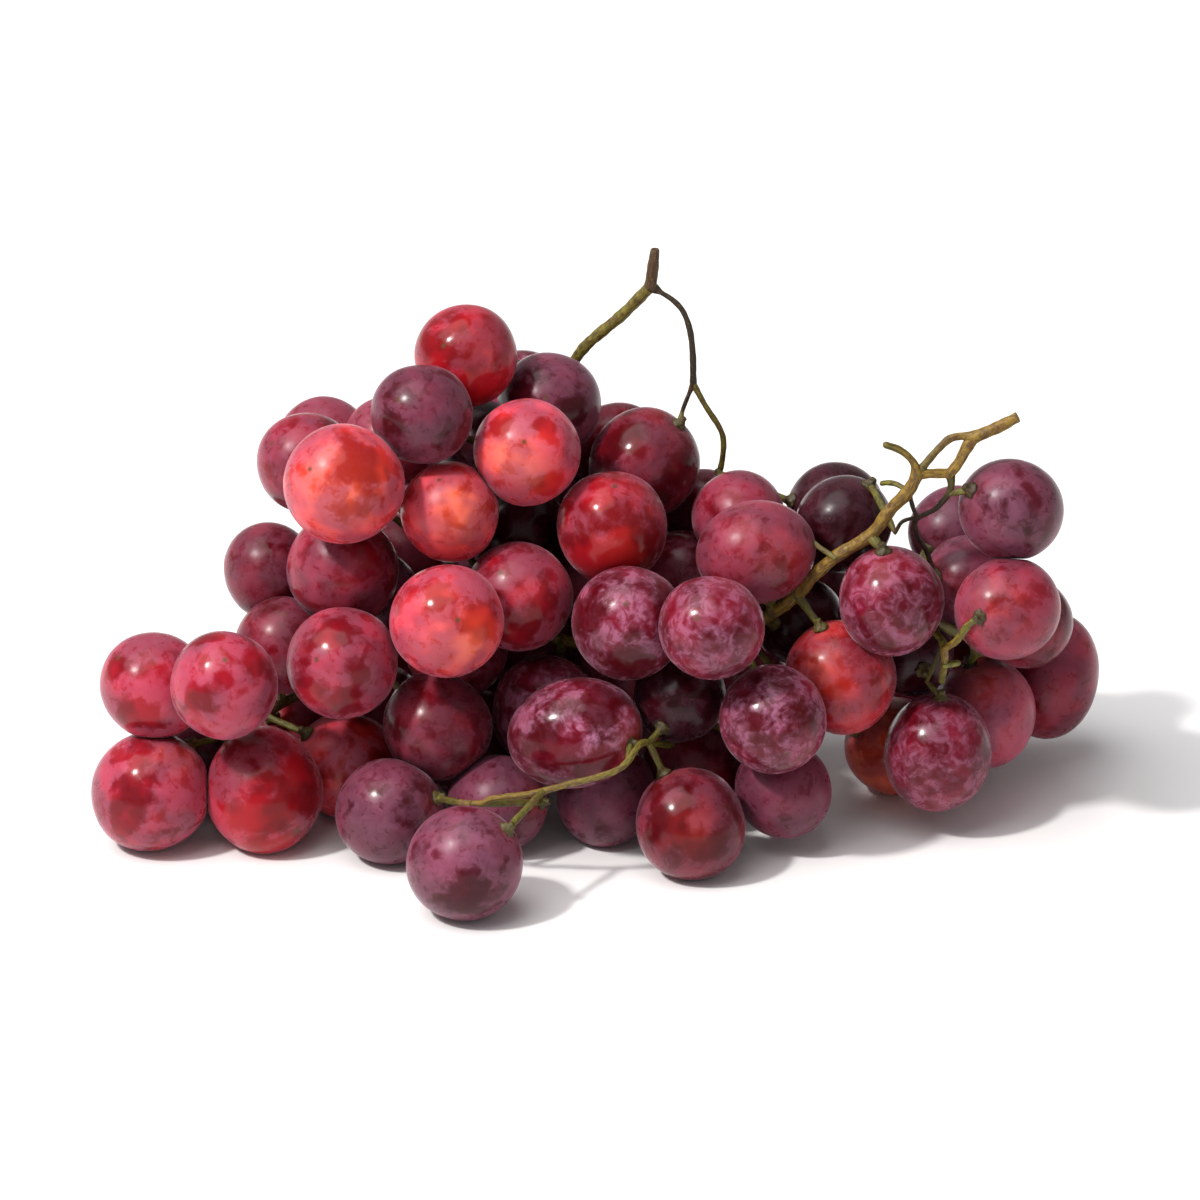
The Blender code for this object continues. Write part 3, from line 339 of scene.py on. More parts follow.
# Shape and finish of a berry, in millimetres
BERRY_ROWS = 44
BERRY_COLUMNS = 68
BERRY_GROWTH = 1.006    # seen berries are this much larger than their radius in the tables
LUMPS = 0.008           # low swellings of a berry, as a share of its radius
LUMP_WAVES = (2.0, 3.0, 4.0, 5.0)       # how far each turns from a berry's middle to its side
NAVEL_DEPTH = 0.5       # hollow round the pedicel
NAVEL_WIDTH = 0.2
TIP_WIDTH = 0.045       # width of the dry scar opposite the pedicel, in radians
CONTACT_GAP = 0.03      # half the slit between two berries that press on each other
CONTACT_EDGE = 0.16     # rounding of the flat that they press into each other
CONTACT_REACH = 0.5     # neighbours up to this far off press on a berry

# How berries of one skin differ
TINT_RANGE = (0.88, 1.12)
BLOOM_RANGE = (0.85, 1.15)
WIPED_RANGE = (-0.1, 0.1)
PATTERN_RANGE = (0.0, 50.0)
COLLAR_GLOW = 0.3       # strength of the warm ring round the pedicel, and its width in radians
COLLAR_WIDTH = 0.4
RUB_STRENGTH = 1.6      # over 1, a rubbed patch is bare well out from its middle

# Patterns of the skin: shift against each other, waves per millimetre, detail, roughness and swirl
SKIN_PATTERNS = {
    "broad": (0.0, 0.11, 2.0, 0.5, 0.0),
    "cloud": (7.0, 0.19, 4.0, 0.5, 0.5),
    "fleck": (19.0, 0.5, 5.0, 0.6, 0.6),
    "frost": (31.0, 0.3, 4.0, 0.55, 1.0),
    "grain": (0.0, 3.2, 3.0, 0.6, 0.0),
}
RUB_SHARE = 0.3                 # what moves the level at which the bloom is rubbed off: patches,
WIPED_SHARE = 0.3               # the skin's own share, and the fleck pattern
FLECK_SHARE = 0.2
RUBBED_STEP = (0.45, 0.66)      # levels of a pattern between which it begins and is all there
FROST_STEP = (0.36, 0.68)
SPECK_STEP = (0.54, 0.66)
BROAD_STEP = (0.42, 0.62)
DOT_STEP = (0.05, 0.13)         # edge of a corky dot
DOTTED_STEP = (0.5, 0.6)        # levels of the fleck pattern that have dots
RUBBED_SHARE = 0.88             # share of the bloom that is gone where it is rubbed off
SPECK_SHARE = 0.5               # and where it has specks
GRAIN_COVER = (0.8, 0.4)        # the bloom at the grain's lowest level, and what its highest adds
DOT_SCALE = 0.55                # corky dots for each millimetre
DOT_SHARE = 0.35
GLOSS = (0.13, 0.26)            # roughness of bare skin, and what the bloom adds
SKIN_RELIEF = (0.03, 0.02, 0.05)        # height of the bloom, the grain and the flecks
SKIN_BUMP = 0.35
DEEP_TINT = (186, 140, 150)     # darkens the skin in broad clouds
WORN_TINT = (234, 192, 202)     # darkens the skin where it is rubbed
CORK = (214, 150, 120)
SCAR = (92, 62, 40)
SHEEN = (236, 196, 214)

# Colours and patterns of the bark
GREEN = (116, 118, 36)
OLIVE = (104, 96, 30)
MUSTARD = (144, 114, 32)
LIME = (126, 116, 38)
BROWN = (88, 62, 32)
UMBER = (50, 38, 20)
BARK = {
    "arch_cut": (BROWN, BROWN), "arch_left": (LIME, GREEN), "arch_right": (UMBER, UMBER),
    "arch_twig": (UMBER, UMBER), "arch_end": (OLIVE, GREEN), "axis_left": (OLIVE, BROWN),
    "main_cut": (MUSTARD, MUSTARD), "main_upper": (MUSTARD, OLIVE), "main_lower": (MUSTARD, MUSTARD),
    "main_bar": (MUSTARD, MUSTARD), "main_stub": (MUSTARD, OLIVE), "main_down": (MUSTARD, MUSTARD),
    "axis_right": (MUSTARD, OLIVE), "main_drop": (OLIVE, UMBER), "dry_drop": (UMBER, UMBER),
    "dry_link": (UMBER, UMBER), "dry_end": (UMBER, UMBER), "side_twig": (OLIVE, GREEN),
    "back_twig": (OLIVE, OLIVE), "low_stem": (GREEN, GREEN), "low_drop": (MUSTARD, GREEN),
    "low_right": (MUSTARD, GREEN), "low_side": (GREEN, GREEN), "low_twig": (UMBER, OLIVE),
    "tail_line": (GREEN, MUSTARD), "tail_root": (OLIVE, GREEN),
}
STREAK_STRETCH = 0.22           # the streaks' pattern along a stem, against round it
STREAKS = (2.2, 4.0, 0.6)       # waves, detail and roughness of the bark's patterns
BLOTCHES = (0.32, 4.0, 0.6)
BARK_GRAIN = (2.6, 4.0, 0.65)
STREAK_STEP = (0.35, 0.65)
GRAIN_STEP = (0.52, 0.72)
BLOTCH_STEP = (0.54, 0.66)
STREAK_TINT = (150, 120, 96)    # darkens the bark in streaks
GRAIN_TINT = (206, 186, 120)
GRAIN_PALE = 0.35               # how much of that tint the grain takes, and how strongly it shows
GRAIN_SHARE = 0.6
BLOTCH_SHARE = 0.75
BARK_ROUGHNESS = (0.42, 0.3)    # roughness at the grain's lowest level, and what its highest adds
BARK_RELIEF = (0.25, 0.12)      # height of the streaks and the grain
BARK_BUMP = 0.8
BARK_TINT_RANGE = (0.9, 1.1)
BARK_SHIFT = 90.0       # the bark's pattern starts up to this far round a stem
BARK_SLIDE = 200.0      # and up to this far along it

# Shape of the stem
BRANCH_COLUMNS = 18
TWIG_COLUMNS = 12
BRANCH_RINGS = 0.7      # distance between the rings of a stem, in millimetres
RIDGES = ((0.055, 3, 0.12), (0.03, 5, -0.2))    # height, count around and turn per millimetre
SWELLS = ((0.05, 0.9), (0.03, 2.3))             # height and waves along, per millimetre
ANY_PHASE = (0.0, 6.0)  # where a ridge, a swelling or a wart may start, in radians
CUT_END = ((0.15, 0.93), (0.16, 0.55), (0.1, 0.2), (0.12, 0.0))     # rings that close a stem: out
ROUND_END = ((0.35, 0.94), (0.7, 0.72), (0.93, 0.38), (1.0, 0.0))   # and wide, in its thickness
CAP_COLUMNS = 24
CAP_STEP = 0.22         # distance between the rings of a cap
CAP_RANGE = (0.85, 1.0)     # how caps differ in width, and in their share of brown
CAP_BROWN = (0.2, 0.8)
KNOBS = (0.12, 7, 4)    # height, count round the collar and waves per millimetre outwards
WINDINGS = (0.08, 4, 3)
CAP_PROFILE = (         # distance out from the berry, and from the pedicel's middle
    (2.4, 0.0), (2.4, 0.75), (1.9, 0.85), (1.35, 1.05), (0.95, 1.4), (0.62, 1.78), (0.34, 1.98),
    (0.1, 2.02), (-0.12, 1.88), (-0.3, 1.5), (-0.4, 0.8), (-0.42, 0.0))

# Stage
FRAME_WIDTH = 272.7     # width of the picture at the bunch, in millimetres
FRAME_MIDDLE = (0.0, 71.25, 60.0)
SENSOR = 36.0
LENS = 500.0
CLIP = (0.1, 50.0)      # nearest and furthest that the camera sees, in metres
FLOOR_COLOUR = (0.93, 0.93, 0.935)
FLOOR_ROUGHNESS = 0.55
FLOOR_HALF = 3.0        # from the middle of the table to its edge, in metres
SKY_STRENGTH = 0.33
LAMP_AIM = 0.05         # height that the lamps look at, in metres
LAMPS = {               # direction, distance and width in metres, power in watts, and colour
    "key": ((-0.544, -0.352, 0.764), 3.0, 0.24, 72.0, (1.0, 0.97, 0.94)),
    "soft": ((-0.35, -0.15, 0.92), 2.0, 2.0, 37.0, (1.0, 0.99, 0.98)),
}


def in_room(view_points):
    """Turns across, up and back as seen from the front into x, y and z.

    x is across and y is back. Height = (up - back x sine) / cosine of the view's elevation.
    """
    across, up, back = np.moveaxis(np.asarray(view_points, float), -1, 0)
    height = (up - back * math.sin(VIEW_ELEVATION)) / math.cos(VIEW_ELEVATION)
    return np.stack((across, back, height), axis=-1)


def spread(centres, radii, cluster, ties, sideways):
    """One round of pushes: apart where two berries press too far, together along each tie."""
    away = centres[:, None] - centres[None]
    distance = np.linalg.norm(away, axis=2)
    np.fill_diagonal(distance, 1.0)
    normal = away / distance[..., None]
    same = cluster[:, None] == cluster[None]
    wanted = radii[:, None] + radii[None] + np.where(same, -PRESS, CLUSTER_GAP)
    push = np.clip(wanted - distance, 0.0, None)
    np.fill_diagonal(push, 0.0)
    first, second = ties[:, 0], ties[:, 1]
    pull = np.clip(distance - wanted, 0.0, None)[first, second] * TIE_PULL
    np.subtract.at(push, (first, second), pull)
    np.subtract.at(push, (second, first), pull)
    along = np.sign(normal @ SIGHT)
    depth_move = (push * along)[..., None] * SIGHT
    side_move = push[..., None] * normal
    return (depth_move * (1.0 - sideways) + side_move * sideways).sum(axis=1) * PUSH_SHARE


def nearest_ties(centres, cluster):
    """Pairs each berry with the nearest earlier berry of its cluster."""
    pairs = []
    for index in range(len(centres)):
        earlier = np.flatnonzero(cluster[:index] == cluster[index])
        if len(earlier):
            gaps = np.linalg.norm(centres[earlier] - centres[index], axis=1)
            pairs.append((index, earlier[np.argmin(gaps)]))
    return np.array(pairs)


def settle(centres, radii, cluster, ties, rounds):
    """Lets the berries find their places: first in depth alone, then a little sideways too.

    Across and up it is drawn back to its first place for most of the rounds. A berry that starts
    near the table stays on it.
    """
    lying = centres[:, 2] < radii + NEAR_TABLE
    home = centres
    for turn in range(rounds):
        sideways = SIDEWAYS_EARLY if turn < rounds * DEPTH_ROUNDS else SIDEWAYS_LATE
        centres = centres + spread(centres, radii, cluster, ties, sideways)
        if turn < rounds * HOME_ROUNDS:
            back = home - centres
            centres += HOME_PULL * (back - (back @ SIGHT)[:, None] * SIGHT)
        low = radii - FLAT_DEPTH
        centres[:, 2] = np.where(lying, low, np.maximum(centres[:, 2], low + CLEAR_OF_TABLE))
    return centres


def turns(count):
    """Even steps of one full turn."""
    return np.linspace(0.0, math.tau, count, endpoint=False)


def is_covered(spots, spot_radius, centres, radii):
    """Tells which spots are hidden from the front: every point of their rim is behind a berry."""
    flat = np.stack((centres[:, 0], centres @ RISE), axis=1)
    spot_flat = np.stack((spots[:, 0], spots @ RISE), axis=1)
    in_front = (centres @ SIGHT)[None] < (spots @ SIGHT)[:, None]
    covered = np.ones(len(spots), bool)
    for angle in turns(RIM_SPOTS):
        outward = np.array((math.cos(angle), math.sin(angle)))
        rim = spot_flat + spot_radius * RIM_SHARE * outward
        reach = np.linalg.norm(rim[:, None] - flat[None], axis=2)
        covered &= ((reach < radii[None]) & in_front).any(axis=1)
    return covered


def is_behind(spots, spot_radius, centres, radii):
    """Tells which spots lie behind every berry that they overlap in the view."""
    aside = np.hypot(
        spots[:, None, 0] - centres[None, :, 0], (spots @ RISE)[:, None] - (centres @ RISE)[None])
    overlaps = aside < radii[None] + spot_radius
    behind = (spots @ SIGHT)[:, None] > (centres @ SIGHT)[None]
    return (behind | ~overlaps).all(axis=1)


def behind_gap(gap, circle, height, radius):
    """Spots along the line of sight through a gap, at a share of the way that the height gives."""
    share = (height - radius - NEAR_TABLE) / (HEAP_TOP - radius - NEAR_TABLE)
    back = GAP_BACKS[0] + share * (GAP_BACKS[1] - GAP_BACKS[0])
    spots = in_room(np.hstack((gap + circle * GAP_REACH, back[:, None])))
    return spots[spots[:, 2] > radius + NEAR_TABLE]


def add_hidden(centres, radii, cluster):
    """Fills gaps and the back of the heap: each new berry lies behind, touches others and is low."""
    draw = np.random.default_rng(SEED)
    shown = len(centres)
    for turn in range(HIDDEN_COUNT):
        radius = draw.uniform(*HIDDEN_SIZES) / 2
        angle = draw.uniform(0.0, math.tau, HIDDEN_TRIES)
        share = np.sqrt(draw.uniform(0.0, 1.0, HIDDEN_TRIES))
        height = draw.uniform(radius + NEAR_TABLE, HEAP_TOP, HIDDEN_TRIES)
        circle = np.stack((share * np.cos(angle), share * np.sin(angle)), axis=1)
        if turn < len(GAPS):
            spots = behind_gap(GAPS[turn], circle, height, radius)
        else:
            spots = np.hstack((HEAP_MIDDLE + circle * HEAP_REACH, height[:, None]))
            if turn < len(GAPS) + HIDDEN_ON_TABLE:
                spots[:, 2] = radius - FLAT_DEPTH
        space = np.linalg.norm(spots[:, None] - centres[None], axis=2) - radii[None] - radius
        fits = space.min(axis=1)
        good = (fits > -PRESS) & (fits < -TOUCH)
        spots = spots[good]
        space = space[good]
        if turn < len(GAPS):
            good = is_behind(spots, radius, centres[:shown], radii[:shown])
        else:
            good = is_covered(spots, radius, centres[:shown], radii[:shown])
        if not good.any():
            continue
        spots = spots[good]
        space = space[good]
        contacts = np.sort(space, axis=1)[:, :4].sum(axis=1)
        choice = np.argmin(contacts + HEIGHT_PENALTY * spots[:, 2] - BACK_GAIN * spots[:, 1])
        touched = cluster[space[choice] < -TOUCH]
        smallest = min(touched, key=lambda number: np.count_nonzero(cluster == number))
        centres = np.vstack((centres, spots[choice]))
        radii = np.append(radii, radius)
        cluster = np.append(cluster, smallest)
    return centres, radii, cluster


def place_berries():
    """Returns centres, radii and cluster numbers of all berries, shown and hidden."""
    rows = [(number, *berry) for number, name in enumerate(CLUSTERS) for berry in CLUSTERS[name]]
    rows = np.array(rows)
    cluster = rows[:, 0].astype(int)
    radii = rows[:, 4] / 2
    centres = in_room(rows[:, 1:4])
    ties = nearest_ties(centres, cluster)
    centres = settle(centres, radii, cluster, ties, SETTLE_ROUNDS)
    centres, radii, cluster = add_hidden(centres, radii, cluster)
    ties = nearest_ties(centres, cluster)
    centres = settle(centres, radii, cluster, ties, SETTLE_ROUNDS // 4)
    return centres, radii, cluster


def lengths_along(points):
    """The length of a row of points up to each of them."""
    return np.append(0.0, np.cumsum(np.linalg.norm(np.diff(points, axis=0), axis=1)))


def smooth_route(points, step):
    """A Catmull-Rom curve through the points, read at even steps along its length."""
    points = np.asarray(points, float)
    ends = np.vstack((2 * points[0] - points[1], points, 2 * points[-1] - points[-2]))
    share = np.linspace(0.0, 1.0, CURVE_SAMPLES, endpoint=False)[:, None]
    pieces = []
    for before, here, there, after in zip(ends, ends[1:], ends[2:], ends[3:]):
        pieces.append(0.5 * (
            2 * here + (there - before) * share
            + (2 * before - 5 * here + 4 * there - after) * share**2
            + (3 * here - before - 3 * there + after) * share**3))
    curve = np.vstack((*pieces, points[-1:]))
    lengths = lengths_along(curve)
    count = max(2, round(lengths[-1] / step) + 1)
    wanted = np.linspace(0.0, lengths[-1], count)
    return np.stack([np.interp(wanted, lengths, curve[:, axis]) for axis in range(3)], axis=1)


class Tree:
    """The stem as points joined by links: each point has a thickness, each link its two ends."""

    def __init__(self):
        self.points = []
        self.thickness = []
        self.links = []
        self.runs = []
        self.places = {}

    def add(self, point, thickness):
        """Adds a point, or finds the one already there, and returns its number."""
        key = tuple(np.round(point, 2))
        if key not in self.places:
            self.places[key] = len(self.points)
            self.points.append(np.asarray(point, float))
            self.thickness.append(thickness)
        number = self.places[key]
        self.thickness[number] = max(self.thickness[number], thickness)
        return number

    def add_run(self, points, thickness):
        """Adds a row of points, each linked to the next."""
        numbers = [self.add(*pair) for pair in zip(points, thickness)]
        self.links += list(zip(numbers, numbers[1:]))
        self.runs.append(numbers)


def drawn_branches():
    """The branches of the table, as rows of points with their thickness."""
    tree = Tree()
    for start, end, route in BRANCHES.values():
        points = smooth_route(in_room(route), BRANCH_STEP)
        tree.add_run(points, np.linspace(start, end, len(points)))
    return tree


def relax(tree, free, centres, radii, keep_view):
    """Smooths the free points and pushes them clear of every berry."""
    points = np.array(tree.points)
    thickness = np.array(tree.thickness)
    links = np.array(tree.links)
    home = points.copy()
    room = radii[None] + thickness[:, None] + STEM_GAP
    both_ways = np.vstack((links, links[:, ::-1]))
    count = np.bincount(both_ways[:, 0], minlength=len(points))[:, None]
    for turn in range(RELAX_ROUNDS):
        total = np.zeros_like(points)
        np.add.at(total, both_ways[:, 0], points[both_ways[:, 1]])
        ease = RELAX_EASE if turn < RELAX_ROUNDS * EASE_ROUNDS else 0.0
        moved = points + ease * np.where(count > 1, total / np.maximum(count, 1) - points, 0.0)
        away = moved[:, None] - centres[None]
        distance = np.linalg.norm(away, axis=2)
        short = np.clip(room - distance, 0.0, None)
        moved += (away / distance[..., None] * short[..., None]).sum(axis=1)
        if keep_view:
            side = home - moved
            moved += VIEW_HOLD * (side - (side @ SIGHT)[:, None] * SIGHT)
        moved[:, 2] = np.maximum(moved[:, 2], thickness + STEM_GAP)
        points = np.where(free[:, None], moved, points)
    tree.points = list(points)


class Grid:
    """A box of cells round the bunch, each with a price for leading a twig through it."""

    def __init__(self, centres, radii, shown):
        self.low = (centres - radii[:, None]).min(axis=0) - 3 * CELL
        high = (centres + radii[:, None]).max(axis=0) + 3 * CELL
        self.shape = tuple(np.ceil((high - self.low) / CELL).astype(int))
        spots = self.low + np.moveaxis(np.indices(self.shape), 0, -1) * CELL
        room = np.full(self.shape, 99.0)
        hidden = np.zeros(self.shape, bool)
        for number, (centre, radius) in enumerate(zip(centres, radii)):
            away = spots - centre
            room = np.minimum(room, np.linalg.norm(away, axis=-1) - radius)
            if number < shown:
                aside = np.hypot(away[..., 0], away @ RISE)
                hidden |= (aside < radius) & (away @ SIGHT > 0.0)
        tight = np.clip(TIGHT_ROOM - room, 0.0, None)
        self.price = 1.0 + tight * PRICE_TIGHT + np.where(hidden, 0.0, PRICE_SEEN)
        self.price[spots[..., 2] < TWIG_LIMIT] = PRICE_WALL
        for axis in range(3):
            for side in (0, -1):
                wall = [slice(None)] * 3
                wall[axis] = side
                self.price[tuple(wall)] = PRICE_WALL
        self.cost = np.full(self.shape, np.inf)
        self.offsets = [step for step in np.ndindex(3, 3, 3) if step != (1, 1, 1)]

    def cell(self, point):
        """The cell that a point lies in."""
        return tuple(np.round((point - self.low) / CELL).astype(int))

    def place(self, cell):
        """The middle of a cell."""
        return self.low + np.array(cell) * CELL

    def spread_from(self, points):
        """Finds for every cell the cheapest way to one of the points."""
        for point in points:
            spot = self.cell(point)
            if all(0 <= place < count for place, count in zip(spot, self.shape)):
                self.cost[spot] = 0.0
        changed = True
        while changed:
            before = self.cost.copy()
            for offset in self.offsets:
                shift = tuple(place - 1 for place in offset)
                length = math.sqrt(sum(abs(place) for place in shift))
                reached = np.roll(self.cost, shift, axis=(0, 1, 2)) + self.price * length
                self.cost = np.minimum(self.cost, reached)
            changed = not np.array_equal(before, self.cost)

    def way(self, start):
        """The cells from the start down to a cell of the stem."""
        cells = [start]
        while self.cost[cells[-1]] > 0.0:
            here = cells[-1]
            around = [tuple(np.add(here, offset) - 1) for offset in self.offsets]
            around = [cell for cell in around if cell not in cells]
            reach = [
                self.cost[cell] + self.price[here] * math.dist(cell, here) for cell in around]
            cells.append(around[int(np.argmin(reach))])
        return cells

    def start_near(self, centre, radius, cap):
        """The cell close to a berry, and to its cap if that is known, with the cheapest way."""
        low = np.maximum(np.subtract(self.cell(centre - radius), 3), 0)
        high = np.add(self.cell(centre + radius), 4)
        window = tuple(slice(first, last) for first, last in zip(low, high))
        cost = self.cost[window]
        cells = low + np.moveaxis(np.indices(cost.shape), 0, -1)
        spots = self.low + cells * CELL
        away = np.linalg.norm(spots - centre, axis=-1) - radius
        near = (away > START_NEAR) & (away < START_FAR)
        if cap is not None:
            near &= np.linalg.norm(spots - cap, axis=-1) < CAP_SEARCH
        score = np.where(near, cost, np.inf)
        best = np.unravel_index(np.argmin(score), score.shape)
        return tuple(int(place) for place in cells[best])


def cap_on_front(centre, radius, across, up):
    """The point of a berry's near side that is seen at this place."""
    aside = np.array((across - centre[0], up - centre @ RISE)) / radius
    aside /= max(1.0, np.linalg.norm(aside) / CAP_EDGE)
    toward = math.sqrt(1.0 - aside @ aside)
    return centre + radius * (aside[0] * ACROSS + aside[1] * RISE - toward * SIGHT)


def caps_seen(centres, radii):
    """For each berry of the clusters its cap on the front, or None where it is out of sight."""
    return [
        cap_on_front(centre, radius, *SEEN_CAPS[name]) if name in SEEN_CAPS else None
        for name, centre, radius in zip(BERRIES, centres, radii)]


def grow_twigs(tree, centres, radii, caps):
    """Leads a twig from every berry to the branches, and returns each berry's cap direction."""
    grid = Grid(centres, radii, len(caps))
    branch_points = np.array(tree.points)
    grid.spread_from(branch_points)
    caps = caps + [None] * (len(radii) - len(caps))
    following = {}
    ways = []
    for centre, radius, cap in zip(centres, radii, caps):
        cells = grid.way(grid.start_near(centre, radius, cap))
        for here, there in zip(cells, cells[1:]):
            following.setdefault(here, there)
        way = [cells[0]]
        while way[-1] in following:
            way.append(following[way[-1]])
        ways.append(way)
    carried = collections.Counter(cell for way in ways for cell in way)
    numbers = {}
    for way in ways:
        gaps = np.linalg.norm(branch_points - grid.place(way[-1]), axis=1)
        numbers[way[-1]] = int(np.argmin(gaps))
    axes = np.zeros_like(centres)
    tips = []
    for place in sorted(range(len(ways)), key=lambda place: -len(ways[place])):
        way, centre, radius, cap = ways[place], centres[place], radii[place], caps[place]
        spot = grid.place(way[0]) if cap is None else cap
        axes[place] = (spot - centre) / np.linalg.norm(spot - centre)
        run = [tree.add(centre + axes[place] * (radius + STEM_GAP), TWIG_RADIUS)]
        tips.append(run[0])
        for cell in way:
            known = cell in numbers
            if not known:
                thickness = TWIG_RADIUS + TWIG_GROWTH * math.sqrt(carried[cell] - 1)
                numbers[cell] = tree.add(grid.place(cell), min(thickness, TWIG_LIMIT))
            run.append(numbers[cell])
            if known:
                break
        tree.links += list(zip(run, run[1:]))
        tree.runs.append(run[::-1])
    free = np.ones(len(tree.points), bool)
    free[: len(branch_points)] = False
    free[tips] = False
    relax(tree, free, centres, radii, keep_view=False)
    return axes


def long_axes(axes):
    """Each berry's long axis and stretch: its own for the ovals, else a little along its stem."""
    stretch = np.full(len(axes), PLAIN_STRETCH)
    long_axis = axes.copy()
    for number, place in enumerate(BERRIES):
        if place in OVALS:
            stretch[number], lean = OVALS[place]
            lean = math.radians(lean)
            long_axis[number] = math.cos(lean) * RISE + math.sin(lean) * ACROSS
    return long_axis, stretch


def bunch():
    """Settles the berries and grows the stem, and moves both so that they stand on the origin."""
    centres, radii, cluster = place_berries()
    tree = drawn_branches()
    relax(tree, np.ones(len(tree.points), bool), centres, radii, keep_view=True)
    axes = grow_twigs(tree, centres, radii, caps_seen(centres, radii))
    reach = radii[:, None] * FACET_GROWTH
    middle = ((centres - reach).min(axis=0) + (centres + reach).max(axis=0)) / 2
    middle[2] = 0.0
    tree.points = [point - middle for point in tree.points]
    return centres - middle, radii, cluster, axes, tree, middle


def linear(colour):
    """Turns a colour as a screen shows it, from 0 to 255, into linear light."""
    share = np.asarray(colour, float) / 255
    return np.where(share <= 0.04045, share / 12.92, ((share + 0.055) / 1.055) ** 2.4)


def link_object(name, data):
    """Puts an object with this mesh, light or camera into the scene."""
    item = bpy.data.objects.new(name, data)
    bpy.context.scene.collection.objects.link(item)
    return item


class Shells:
    """Closed shells gathered for one mesh: each is a grid whose first and last rows are its poles."""

    def __init__(self, names):
        self.points = []
        self.quads = []
        self.fans = []
        self.values = {name: [] for name in names}
        self.count = 0

    def add(self, grid, **values):
        """Takes a grid of points, rows by columns, that closes round its columns."""
        rows, columns = grid.shape[:2]
        self.points.append(self.flat(grid))
        around = np.arange(columns)
        after = (around + 1) % columns
        body = self.count + 1 + around + np.arange(rows - 2)[:, None] * columns
        right = self.count + 1 + after + np.arange(rows - 2)[:, None] * columns
        self.quads.append(np.stack((body[:-1], body[1:], right[1:], right[:-1]), -1).reshape(-1, 4))
        last = self.count + 1 + (rows - 2) * columns
        top = np.full(columns, self.count)
        bottom = np.full(columns, last)
        self.fans.append(np.stack((top, body[0], right[0]), -1))
        self.fans.append(np.stack((bottom, right[-1], body[-1]), -1))
        self.count = last + 1
        for name in self.values:
            value = np.asarray(values[name], float)
            width = value.shape[2:] if value.ndim > 2 else value.shape if value.ndim == 1 else ()
            self.values[name].append(self.flat(np.broadcast_to(value, (rows, columns, *width))))

    @staticmethod
    def flat(grid):
        """The grid's rows one after the other, with each pole as a single entry."""
        inner = grid[1:-1].reshape(-1, *grid.shape[2:])
        return np.concatenate((grid[:1].mean(axis=1), inner, grid[-1:].mean(axis=1)))

    def put(self, name, material):
        """Makes the mesh object, in metres."""
        points = np.concatenate(self.points) * MM
        quads = np.concatenate(self.quads)
        fans = np.concatenate(self.fans)
        mesh = bpy.data.meshes.new(name)
        mesh.vertices.add(len(points))
        mesh.vertices.foreach_set("co", points.ravel())
        mesh.loops.add(quads.size + fans.size)
        mesh.loops.foreach_set("vertex_index", np.concatenate((quads.ravel(), fans.ravel())))
        sizes = np.repeat((4, 3), (len(quads), len(fans)))
        mesh.polygons.add(len(sizes))
        mesh.polygons.foreach_set("loop_start", np.cumsum(sizes) - sizes)
        mesh.polygons.foreach_set("use_smooth", np.ones(len(sizes), bool))
        mesh.update(calc_edges=True)
        for key, parts in self.values.items():
            value = np.concatenate(parts)
            colour = value.ndim > 1
            kind = "FLOAT_COLOR" if colour else "FLOAT"
            layer = mesh.attributes.new(key, kind, "POINT")
            if colour:
                value = np.hstack((value, np.ones((len(value), 1))))
            layer.data.foreach_set("color" if colour else "value", value.ravel())
        mesh.validate()
        mesh.materials.append(material)
        return link_object(name, mesh)


